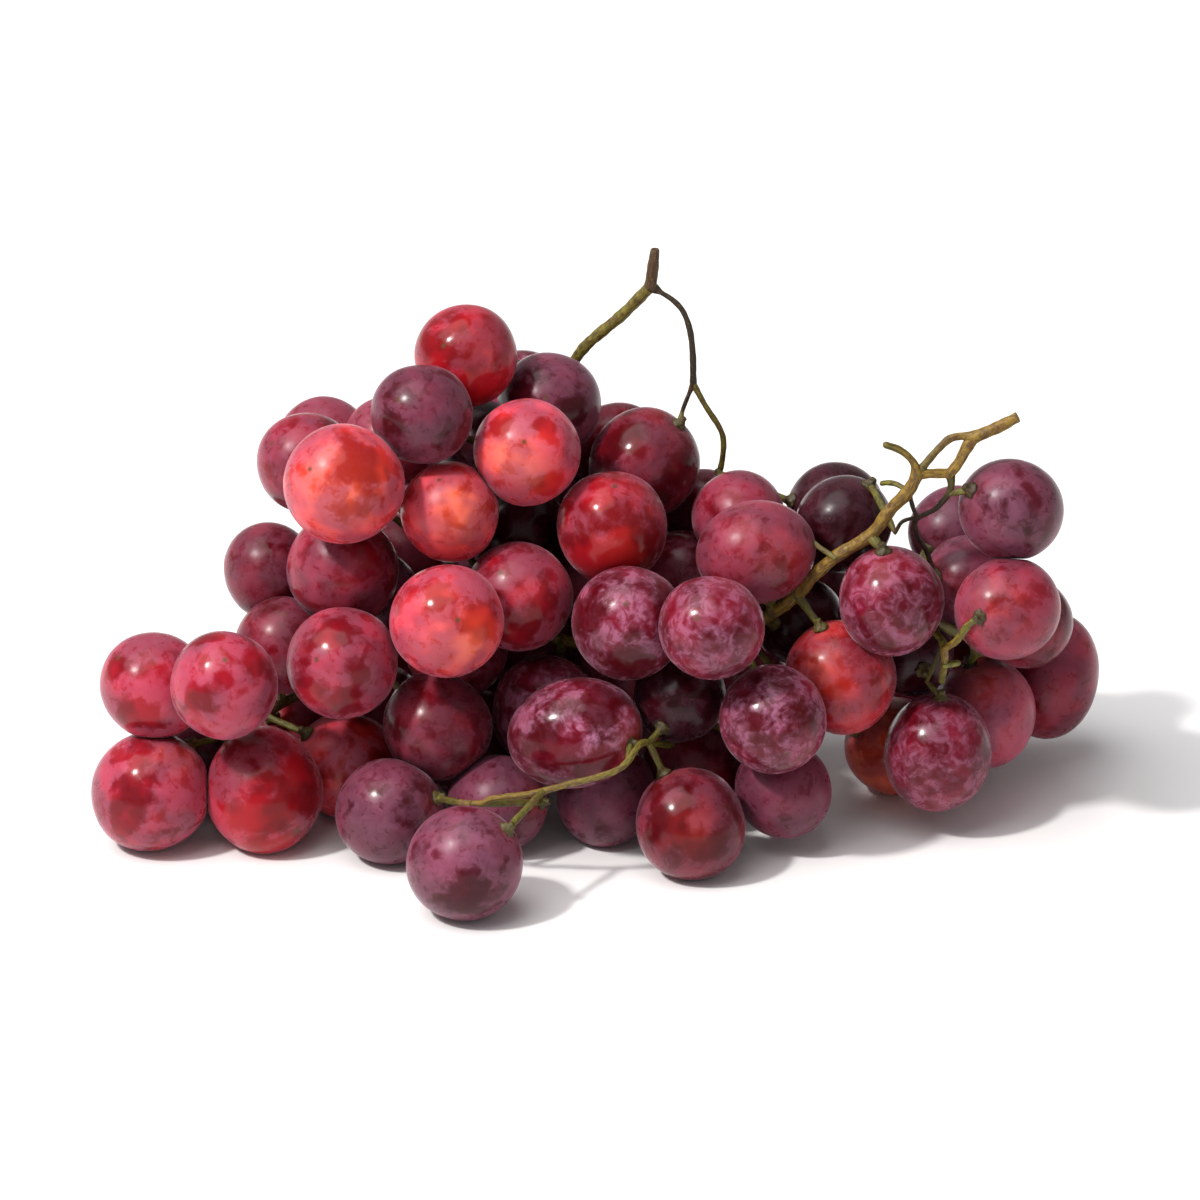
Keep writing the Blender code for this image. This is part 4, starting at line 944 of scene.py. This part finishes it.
class Paint:
    """Builds one material: each call adds a node and gives back its output."""

    def __init__(self, name):
        self.material = bpy.data.materials.get(name) or bpy.data.materials.new(name)
        self.material.use_nodes = True
        self.tree = self.material.node_tree
        self.shader = self.tree.nodes["Principled BSDF"]

    def node(self, kind, inputs, output=0, **settings):
        """Adds a node with its inputs linked or set, and gives back one of its outputs."""
        made = self.tree.nodes.new(kind)
        for key, value in settings.items():
            setattr(made, key, value)
        for key, value in inputs.items():
            self.set(made.inputs[key], value)
        return made.outputs[output]

    def set(self, socket, value):
        """Links the socket where the value is another node's output, and else sets it."""
        if isinstance(value, bpy.types.NodeSocket):
            self.tree.links.new(value, socket)
        else:
            socket.default_value = value

    def attribute(self, name, output="Fac"):
        """A value or a colour that each point of the mesh carries."""
        return self.node("ShaderNodeAttribute", {}, output, attribute_name=name)

    def math(self, operation, first, second, clamp=False):
        return self.node("ShaderNodeMath", {0: first, 1: second}, operation=operation, use_clamp=clamp)

    def add(self, *terms):
        return functools.reduce(functools.partial(self.math, "ADD"), terms)

    def times(self, *factors):
        return functools.reduce(functools.partial(self.math, "MULTIPLY"), factors)

    def less(self, first, second):
        return self.math("SUBTRACT", first, second)

    def rising(self, value, low, growth):
        """Rises with the value: low where it is 0, and low + growth where it is 1."""
        return self.add(low, self.times(value, growth))

    def step(self, value, low, high):
        """A soft step from 0 at low to 1 at high."""
        return self.node(
            "ShaderNodeMapRange", {"Value": value, "From Min": low, "From Max": high},
            interpolation_type="SMOOTHSTEP")

    def mix(self, share, first, second, blend="MIX"):
        return self.node("ShaderNodeMix", {0: share, 6: first, 7: second}, 2,
                         data_type="RGBA", blend_type=blend)

    def noise(self, vector, turn, scale, detail=2.0, roughness=0.5, distortion=0.0):
        return self.node("ShaderNodeTexNoise", {
            "Vector": vector, "W": turn, "Scale": scale, "Detail": detail,
            "Roughness": roughness, "Distortion": distortion}, noise_dimensions="4D")

    def place(self):
        """The place on the bunch, in millimetres."""
        place = self.node("ShaderNodeTexCoord", {}, "Object")
        return self.node("ShaderNodeVectorMath", {0: place, "Scale": 1 / MM}, operation="SCALE")

    def bump(self, height, strength):
        """Relief from a height in millimetres."""
        return self.node(
            "ShaderNodeBump", {"Height": height, "Distance": MM, "Strength": strength})

    def finish(self, **values):
        """Sets the shader's sockets, named with _ for each space, and gives back the material."""
        for name, value in values.items():
            self.set(self.shader.inputs[name.replace("_", " ")], value)
        return self.material


def rgba(colour):
    """A screen colour in the form that a shader takes."""
    return (*linear(colour), 1.0)


def skin_material(bloom_colour):
    """Grape skin: clear red under a bloom of wax that is mottled, and wiped off in patches."""
    paint = Paint("grape_skin")
    place = paint.place()
    # The flesh colour carries the painted glow of light through the skin
    flesh_and_glow = paint.attribute("flesh_and_glow", "Color")
    seed, bloom, wiped, mottled, rub, tip = (
        paint.attribute(name) for name in ("seed", "bloom", "wiped", "mottled", "rub", "tip"))
    broad, cloud, fleck, frost, grain = (
        paint.noise(place, paint.add(seed, shift), *pattern)
        for shift, *pattern in SKIN_PATTERNS.values())

    # The bloom is rubbed off where the cloud is high, and more so in the listed patches
    level = paint.add(
        cloud, paint.times(rub, RUB_SHARE), paint.times(paint.less(wiped, 0.5), WIPED_SHARE),
        paint.times(paint.less(fleck, 0.5), FLECK_SHARE))
    rubbed = paint.step(level, *RUBBED_STEP)
    bare = paint.less(1.0, paint.step(frost, *FROST_STEP))
    cover = paint.times(
        paint.less(1.0, paint.times(rubbed, RUBBED_SHARE)),
        paint.less(1.0, paint.times(mottled, bare)),
        paint.less(1.0, paint.times(paint.step(fleck, *SPECK_STEP), SPECK_SHARE)),
        paint.rising(grain, *GRAIN_COVER))
    # The bloom carries the real wax and, in spots, a painted reflection laid on as thicker bloom
    wax = paint.math("MULTIPLY", cover, bloom, clamp=True)

    # Skin: deeper and lighter clouds, then small corky dots and the dry scar at the tip
    deep = paint.mix(1.0, flesh_and_glow, rgba(DEEP_TINT), "MULTIPLY")
    skin = paint.mix(paint.step(broad, *BROAD_STEP), deep, flesh_and_glow)
    dots = paint.node("ShaderNodeTexVoronoi", {
        "Vector": place, "W": seed, "Scale": DOT_SCALE, "Randomness": 1.0}, "Distance",
        voronoi_dimensions="4D")
    dotted = paint.times(
        paint.less(1.0, paint.step(dots, *DOT_STEP)), paint.step(fleck, *DOTTED_STEP), DOT_SHARE)
    skin = paint.mix(dotted, skin, rgba(CORK))
    worn = paint.mix(1.0, skin, rgba(WORN_TINT), "MULTIPLY")
    skin = paint.mix(rubbed, skin, worn)
    colour = paint.mix(wax, skin, (*bloom_colour, 1.0))
    colour = paint.mix(paint.step(tip, 0.0, 1.0), colour, rgba(SCAR))
    height = paint.add(*map(paint.times, (cover, grain, fleck), SKIN_RELIEF))
    return paint.finish(
        Base_Color=colour, Roughness=paint.rising(cover, *GLOSS),
        Normal=paint.bump(height, SKIN_BUMP), IOR=1.42, Specular_IOR_Level=0.29,
        Subsurface_Weight=0.30, Subsurface_Radius=(1.0, 0.22, 0.14), Subsurface_Scale=0.0035,
        Sheen_Weight=0.22, Sheen_Roughness=0.32, Sheen_Tint=rgba(SHEEN))


def bark_material(patch_colour):
    """Stem bark: fine streaks along the stem, light specks, and dry patches."""
    paint = Paint("stem_bark")
    place = paint.place()
    bark = paint.attribute("bark", "Color")
    along = paint.times(paint.attribute("along"), STREAK_STRETCH)
    streaks = paint.node("ShaderNodeCombineXYZ", {"X": paint.attribute("around"), "Y": along})
    streak = paint.noise(streaks, 0.0, *STREAKS)
    blotch = paint.noise(place, 0.0, *BLOTCHES)
    grain = paint.noise(place, 3.0, *BARK_GRAIN)
    dark = paint.mix(1.0, bark, rgba(STREAK_TINT), "MULTIPLY")
    light = paint.mix(GRAIN_PALE, bark, rgba(GRAIN_TINT))
    colour = paint.mix(paint.step(streak, *STREAK_STEP), dark, bark)
    colour = paint.mix(paint.times(paint.step(grain, *GRAIN_STEP), GRAIN_SHARE), colour, light)
    patches = paint.times(paint.step(blotch, *BLOTCH_STEP), BLOTCH_SHARE)
    colour = paint.mix(patches, colour, (*patch_colour, 1.0))
    height = paint.add(*map(paint.times, (streak, grain), BARK_RELIEF))
    return paint.finish(
        Base_Color=colour, Roughness=paint.rising(grain, *BARK_ROUGHNESS),
        Normal=paint.bump(height, BARK_BUMP), Subsurface_Weight=0.08,
        Subsurface_Radius=(1.0, 0.8, 0.3), Subsurface_Scale=0.0008)


def cap_side(direction):
    """Two directions square to the given one and to each other."""
    side = np.cross(direction, (0.31, 0.17, 0.93))
    side /= np.linalg.norm(side)
    return side, np.cross(direction, side)


def round_about(reach, turn, side, other):
    """Points round a middle: reach x (side x cos(turn) + other x sin(turn))."""
    return (reach * np.cos(turn))[..., None] * side + (reach * np.sin(turn))[..., None] * other


def ball_directions(axis, rows, columns):
    """Outward directions in rows of equal angle from the axis, and that angle.

    Direction = axis x cos(angle) + (side x cos(turn) + other x sin(turn)) x sin(angle).
    """
    side, other = cap_side(axis)
    polar = np.linspace(0.0, math.pi, rows)[:, None]
    outward = (
        np.cos(polar)[..., None] * axis + round_about(np.sin(polar), turns(columns), side, other))
    return outward, np.broadcast_to(polar, (rows, columns))


def pressed(points, centre, normal, reach):
    """Keeps points on the near side of a plane: what would pass it is laid on it, with a soft edge.

    With h the height of a point over the plane, the point moves back by edge x ln(1 + e^(h / edge)).
    """
    height = (points - centre) @ normal - reach
    return points - (np.logaddexp(0.0, height / CONTACT_EDGE) * CONTACT_EDGE)[..., None] * normal


def seen_direction(across, up):
    """The direction of the spot on a ball's near side that is seen at these shares of its radius."""
    return across * ACROSS + up * RISE - math.sqrt(max(0.0, 1.0 - across**2 - up**2)) * SIGHT


def spots_on(outward, spots):
    """Soft round spots: e^-(angle / width)^2 each, added up and weighted by the spot's strength."""
    total = np.zeros(outward.shape[:2])
    for across, up, width, strength in spots:
        angle = np.arccos(np.clip(outward @ seen_direction(across, up), -1.0, 1.0))
        total += strength * np.exp(-((angle / width) ** 2))
    return total


class Bunch:
    """Where everything is: worked out once, and used by the operators."""

    def __init__(self):
        self.centres, self.radii, self.cluster, self.axes, self.tree, self.middle = bunch()
        self.long_axis, self.stretch = long_axes(self.axes)
        draw = np.random.default_rng(SEED + 1)
        extra = len(self.radii) - len(BERRIES)
        self.skins = [skin for name in CLUSTERS for skin in LOOKS[name]]
        self.skins += [HIDDEN_SKINS[number] for number in draw.integers(0, len(HIDDEN_SKINS), extra)]
        self.names = BERRIES + [None] * extra

    def berry_grid(self, number, hollow, draw):
        """A berry as a function of the angle from its pedicel and the turn round it.

        Reach = radius of an ellipsoid x (1 + low waves) - a hollow e^-(angle / width)^2 round the
        pedicel. Flats are pressed where it touches its neighbours and the table.
        """
        centre, axis = self.centres[number], self.axes[number]
        radius = self.radii[number] * BERRY_GROWTH
        outward, polar = ball_directions(axis, BERRY_ROWS, BERRY_COLUMNS)
        lean = (outward @ self.long_axis[number]) ** 2
        stretch = self.stretch[number]
        reach = radius / np.sqrt(lean / stretch**2 + (1.0 - lean) * stretch)
        for waves in LUMP_WAVES:
            toward = draw.normal(size=3)
            toward /= np.linalg.norm(toward)
            phase = draw.uniform(0.0, math.tau)
            reach = reach * (1.0 + LUMPS * np.sin(waves * (outward @ toward) + phase))
        reach = reach - hollow * np.exp(-((polar / NAVEL_WIDTH) ** 2))
        points = centre + reach[..., None] * outward
        away = self.centres - centre
        distance = np.linalg.norm(away, axis=1)
        near = distance < radius + self.radii * BERRY_GROWTH + CONTACT_REACH
        near[number] = False
        for other in np.flatnonzero(near):
            gap = distance[other]
            meet = (gap**2 + radius**2 - (self.radii[other] * BERRY_GROWTH) ** 2) / (2 * gap)
            points = pressed(points, centre, away[other] / gap, meet - CONTACT_GAP)
        points = pressed(points, centre, np.array((0.0, 0.0, -1.0)), centre[2])
        return points, outward, polar

    def berry_values(self, number, outward, polar, settings, draw):
        """Colour and wax of a berry: its skin's own, with its painted glow and warm ring, its painted
        reflection as thicker bloom, and its rubbed patches.
        """
        colour, bloom, wiped, mottled = SKINS[self.skins[number]]
        name = self.names[number]
        tint = linear(colour) * draw.uniform(*TINT_RANGE)
        # Painted glow: warm patches that stand for light shining through the flesh, beside the skin's
        # own ring at the pedicel
        painted_glow = np.clip(spots_on(outward, PAINTED_GLOWS.get(name, ())), 0.0, 1.0)
        ring = COLLAR_GLOW * np.exp(-((polar / COLLAR_WIDTH) ** 2)) * (bloom > DARK_BLOOM)
        warm = np.clip(painted_glow + ring * draw.uniform(0.0, 1.0), 0.0, 1.0)[..., None]
        flesh_and_glow = tint * (1.0 - warm) + np.array(settings.glow_colour) * warm
        rubs = [(*rub, RUB_STRENGTH) for rub in RUBS.get(name, ())]
        # Painted reflection of the soft lamp, laid on as thicker bloom
        painted_reflection = 1.0 + spots_on(outward, PAINTED_REFLECTIONS.get(name, ()))
        return {
            "flesh_and_glow": flesh_and_glow, "bloom": bloom * draw.uniform(*BLOOM_RANGE) * settings.bloom_amount * painted_reflection,
            "wiped": wiped + draw.uniform(*WIPED_RANGE), "mottled": mottled,
            "rub": np.clip(spots_on(outward, rubs), 0.0, 1.0), "seed": draw.uniform(*PATTERN_RANGE),
            "tip": np.exp(-(((math.pi - polar) / TIP_WIDTH) ** 2))}


def smooth_tube(points, thickness, step):
    """Reads a row of points and its thickness at even steps along a Catmull-Rom curve."""
    route = smooth_route(points, step)
    lengths = lengths_along(points)
    wanted = np.linspace(0.0, lengths[-1], len(route))
    return route, np.interp(wanted, lengths, thickness)


def ring_frames(route):
    """For each point of the route its direction and two sides that turn with it and don't twist."""
    along = np.gradient(route, axis=0)
    along /= np.linalg.norm(along, axis=1)[:, None]
    side, _ = cap_side(along[0])
    sides = []
    for direction in along:
        side = side - direction * (side @ direction)
        side = side / np.linalg.norm(side)
        sides.append(side)
    sides = np.array(sides)
    return along, sides, np.cross(along, sides)


def tube_grid(route, thickness, columns, draw, flat_end):
    """A ridged round profile carried along a path.

    Reach = thickness x (1 + ridges that turn slowly round the path + slow swellings along it). Its
    ends are closed by a few short rings, which make them round, or flat and rough where it was cut.
    """
    along, side, other = ring_frames(route)
    turn = -turns(columns)
    length = lengths_along(route)[:, None]
    reach = np.ones((len(route), columns))
    for height, count, twist in RIDGES:
        reach += height * np.cos(count * turn + twist * length + draw.uniform(*ANY_PHASE))
    for height, waves in SWELLS:
        reach += height * np.sin(waves * length + draw.uniform(*ANY_PHASE))
    reach *= thickness[:, None]
    grid = route[:, None] + round_about(reach, turn, side[:, None], other[:, None])
    ends = []
    for place, outward, steps in (
            (0, -along[0], CUT_END if flat_end else ROUND_END), (-1, along[-1], ROUND_END)):
        ring = grid[place] - route[place]
        ends.append([
            route[place] + ring * share + outward * thickness[place] * out for out, share in steps])
    rows = [*ends[0][::-1], *grid, *ends[1]]
    return np.array(rows), np.pad(length[:, 0], len(ROUND_END), "edge")[:, None], turn


def add_tube(shells, points, thickness, columns, colours, draw, flat_end=False):
    """Adds one stem with its bark colour running from the first colour to the last."""
    route, thick = smooth_tube(points, thickness, BRANCH_RINGS)
    grid, length, turn = tube_grid(route, thick, columns, draw, flat_end)
    share = length / length[-1, 0]
    bark = linear(colours[0]) * (1.0 - share) + linear(colours[1]) * share
    bark = bark * draw.uniform(*BARK_TINT_RANGE)
    around = np.broadcast_to(np.cos(turn) * 2.0 + draw.uniform(0.0, BARK_SHIFT), grid.shape[:2])
    shells.add(grid, bark=np.broadcast_to(bark[:, None], grid.shape), around=around,
               along=np.broadcast_to(length + draw.uniform(0.0, BARK_SLIDE), grid.shape[:2]))


def cap_grid(centre, axis, radius, size, draw):
    """A turned profile: the pedicel flares into a warty collar that sits on the berry.

    Reach = profile x (1 + knobs that change sign outwards + low windings round it).
    """
    height, count, waves = KNOBS
    low_height, low_count, low_waves = WINDINGS
    side, other = cap_side(axis)
    profile = smooth_profile(CAP_PROFILE)
    out, reach = profile[:, :1], profile[:, 1:]
    turn = turns(CAP_COLUMNS)
    warts = 1.0 + height * np.sin(draw.uniform(*ANY_PHASE) - count * turn) * np.sin(waves * out)
    warts += low_height * np.sin(draw.uniform(*ANY_PHASE) - low_count * turn + low_waves * out)
    reach = reach * warts * size * draw.uniform(*CAP_RANGE)
    return centre + (radius + out)[..., None] * axis + round_about(reach, turn, side, other)


def smooth_profile(profile):
    """The profile read at even steps along a Catmull-Rom curve, with its ends on the axis."""
    flat = np.pad(profile, ((0, 0), (0, 1)))
    curve = smooth_route(flat, CAP_STEP)[:, :2]
    curve[0, 1] = curve[-1, 1] = 0.0
    curve[:, 1] = np.maximum(curve[:, 1], 0.0)
    return curve


def stage_floor(colour):
    """A flat white table: a square in x and y, at height 0."""
    corners = [(FLOOR_HALF * x, FLOOR_HALF * y, 0.0) for x, y in ((-1, -1), (1, -1), (1, 1), (-1, 1))]
    mesh = bpy.data.meshes.new("floor")
    mesh.from_pydata(corners, [], [(0, 1, 2, 3)])
    paint = Paint("floor_white")
    mesh.materials.append(paint.finish(Base_Color=(*colour, 1.0), Roughness=FLOOR_ROUGHNESS))
    link_object("floor", mesh)


def area_light(name, share):
    """A square light that looks at the bunch from its direction, at a share of its power."""
    direction, distance, width, power, colour = LAMPS[name]
    light = bpy.data.lights.new(name, "AREA")
    light.size = width
    light.energy = power * share
    light.color = colour
    item = link_object(name, light)
    toward = np.asarray(direction, float) / np.linalg.norm(direction)
    item.location = toward * distance + np.array((0.0, 0.0, LAMP_AIM))
    item.rotation_euler = Vector(-toward).to_track_quat("-Z", "Y").to_euler()


LAYOUT = Bunch()


class GrapeBerrySettings(bpy.types.PropertyGroup):
    """Sizes and colours of the berries."""

    bloom_amount: bpy.props.FloatProperty(
        name="Bloom", description="Strength of the wax bloom", default=1.0, min=0.0, max=2.0,
        subtype="FACTOR")
    bloom_colour: bpy.props.FloatVectorProperty(
        name="Bloom colour", description="Colour of the wax bloom", default=linear(BLOOM).tolist(),
        subtype="COLOR", min=0.0, max=1.0)
    # Colour of the painted glow of light through the flesh, and of the warm ring at the pedicel
    glow_colour: bpy.props.FloatVectorProperty(
        name="Warm colour", description="Colour of the painted glow patches and of the ring round the pedicel",
        default=linear(GLOW).tolist(), subtype="COLOR", min=0.0, max=1.0)
    navel_depth: bpy.props.FloatProperty(
        name="Hollow", description="Depth of the hollow round the pedicel",
        default=NAVEL_DEPTH * MM, min=0.0, max=2.0 * MM, unit="LENGTH", precision=5)


class GrapeStemSettings(bpy.types.PropertyGroup):
    """Sizes and colours of the stem."""

    collar_size: bpy.props.FloatProperty(
        name="Collars", description="Width of the collars at the pedicels' ends, as a share",
        default=1.0, min=0.5, max=1.2, subtype="FACTOR")
    patch_colour: bpy.props.FloatVectorProperty(
        name="Brown patches", description="Colour of the dry patches of the bark",
        default=linear(BROWN).tolist(), subtype="COLOR", min=0.0, max=1.0)


class GrapeStageSettings(bpy.types.PropertyGroup):
    """The table, the lights and the camera."""

    floor_colour: bpy.props.FloatVectorProperty(
        name="Table", description="Colour of the table", default=FLOOR_COLOUR, subtype="COLOR",
        min=0.0, max=1.0)
    lamp_share: bpy.props.FloatProperty(
        name="Lamps", description="Strength of both lamps, as a share of their power", default=1.0,
        min=0.0, max=4.0, subtype="FACTOR")
    sky_strength: bpy.props.FloatProperty(
        name="Room", description="Strength of the white room round the table",
        default=SKY_STRENGTH, min=0.0)


class GRAPES_OT_berries(bpy.types.Operator):
    """Build the berries, one piece for each cluster"""

    bl_idname = "grapes.berries"
    bl_label = "Berries"

    def execute(self, context):
        settings = context.scene.grape_berries
        material = skin_material(settings.bloom_colour)
        draw = np.random.default_rng(SEED + 2)
        for number, name in enumerate(CLUSTERS):
            shells = Shells(("flesh_and_glow", "bloom", "wiped", "mottled", "rub", "seed", "tip"))
            for place in np.flatnonzero(LAYOUT.cluster == number):
                grid, outward, polar = LAYOUT.berry_grid(place, settings.navel_depth / MM, draw)
                shells.add(grid, **LAYOUT.berry_values(place, outward, polar, settings, draw))
            piece = shells.put(name + "_skins", material)
            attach(piece, "root")
            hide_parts(name + "_berries")
        return {"FINISHED"}


class GRAPES_OT_stem(bpy.types.Operator):
    """Build the branches, the pedicels and their caps"""

    bl_idname = "grapes.stem"
    bl_label = "Stem"

    def execute(self, context):
        settings = context.scene.grape_stem
        material = bark_material(settings.patch_colour)
        draw = np.random.default_rng(SEED + 3)
        names = ("bark", "around", "along")
        branches, twigs, caps = Shells(names), Shells(names), Shells(names)
        tree = LAYOUT.tree
        points = np.array(tree.points)
        thickness = np.array(tree.thickness)
        for run, name in zip(tree.runs, BRANCHES):
            add_tube(branches, points[run], thickness[run], BRANCH_COLUMNS, BARK[name], draw,
                     name.endswith("_cut"))
        for run in tree.runs[len(BRANCHES):]:
            add_tube(twigs, points[run], thickness[run], TWIG_COLUMNS, (OLIVE, GREEN), draw)
        for centre, axis, radius in zip(LAYOUT.centres, LAYOUT.axes, LAYOUT.radii):
            grid = cap_grid(centre, axis, radius, settings.collar_size, draw)
            brown = draw.uniform(*CAP_BROWN)
            tone = linear(OLIVE) * (1.0 - brown) + linear(UMBER) * brown
            around, along = draw.uniform(0.0, BARK_SHIFT, 2)
            caps.add(grid, bark=np.broadcast_to(tone, grid.shape), around=around, along=along)
        for name, shells in (("branches", branches), ("pedicels", twigs), ("pedicel_caps", caps)):
            piece = shells.put(name, material)
            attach(piece, "root")
            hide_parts("stem")
        return {"FINISHED"}


class GRAPES_OT_stage(bpy.types.Operator):
    """Set the floor, the lights and the camera"""

    bl_idname = "grapes.stage"
    bl_label = "Stage"

    def execute(self, context):
        settings = context.scene.grape_stage
        stage_floor(settings.floor_colour)
        scene = context.scene
        scene.view_settings.view_transform = "Standard"
        world = bpy.data.worlds.new("white_room")
        scene.world = world
        world.use_nodes = True
        sky = world.node_tree.nodes["Background"]
        sky.inputs["Color"].default_value = (1.0, 1.0, 1.0, 1.0)
        sky.inputs["Strength"].default_value = settings.sky_strength
        for name in LAMPS:
            area_light(name, settings.lamp_share)
        camera = bpy.data.cameras.new("camera")
        camera.lens = LENS
        camera.sensor_width = SENSOR
        item = link_object("camera", camera)
        distance = FRAME_WIDTH * LENS / SENSOR
        target = in_room(FRAME_MIDDLE) - LAYOUT.middle
        item.location = (target - SIGHT * distance) * MM
        item.rotation_euler = (math.pi / 2 - VIEW_ELEVATION, 0.0, 0.0)
        camera.clip_start, camera.clip_end = CLIP
        scene.camera = item
        return {"FINISHED"}


class GRAPES_PT_bunch(bpy.types.Panel):
    """The bunch's tools in the sidebar"""

    bl_idname = "GRAPES_PT_bunch"
    bl_label = "Bunch of grapes"
    bl_space_type = "VIEW_3D"
    bl_region_type = "UI"
    bl_category = "Grapes"

    def draw(self, context):
        for (place, group), operator in zip(SETTINGS.items(), OPERATORS):
            box = self.layout.box()
            for name in group.__annotations__:
                box.prop(getattr(context.scene, place), name)
            box.operator(operator.bl_idname)


OPERATORS = (GRAPES_OT_berries, GRAPES_OT_stem, GRAPES_OT_stage)
SETTINGS = {
    "grape_berries": GrapeBerrySettings, "grape_stem": GrapeStemSettings,
    "grape_stage": GrapeStageSettings}
CLASSES = (*SETTINGS.values(), *OPERATORS, GRAPES_PT_bunch)


def register():
    """Adds the classes and the scene's settings."""
    for item in CLASSES:
        bpy.utils.register_class(item)
    for place, group in SETTINGS.items():
        setattr(bpy.types.Scene, place, bpy.props.PointerProperty(type=group))


def unregister():
    """Takes away what register added."""
    for place in SETTINGS:
        delattr(bpy.types.Scene, place)
    for item in reversed(CLASSES):
        bpy.utils.unregister_class(item)


def main():
    """Builds the bunch and its stage."""
    register()
    bpy.ops.grapes.berries()
    bpy.ops.grapes.stem()
    bpy.ops.grapes.stage()


if __name__ == "__main__":
    main()
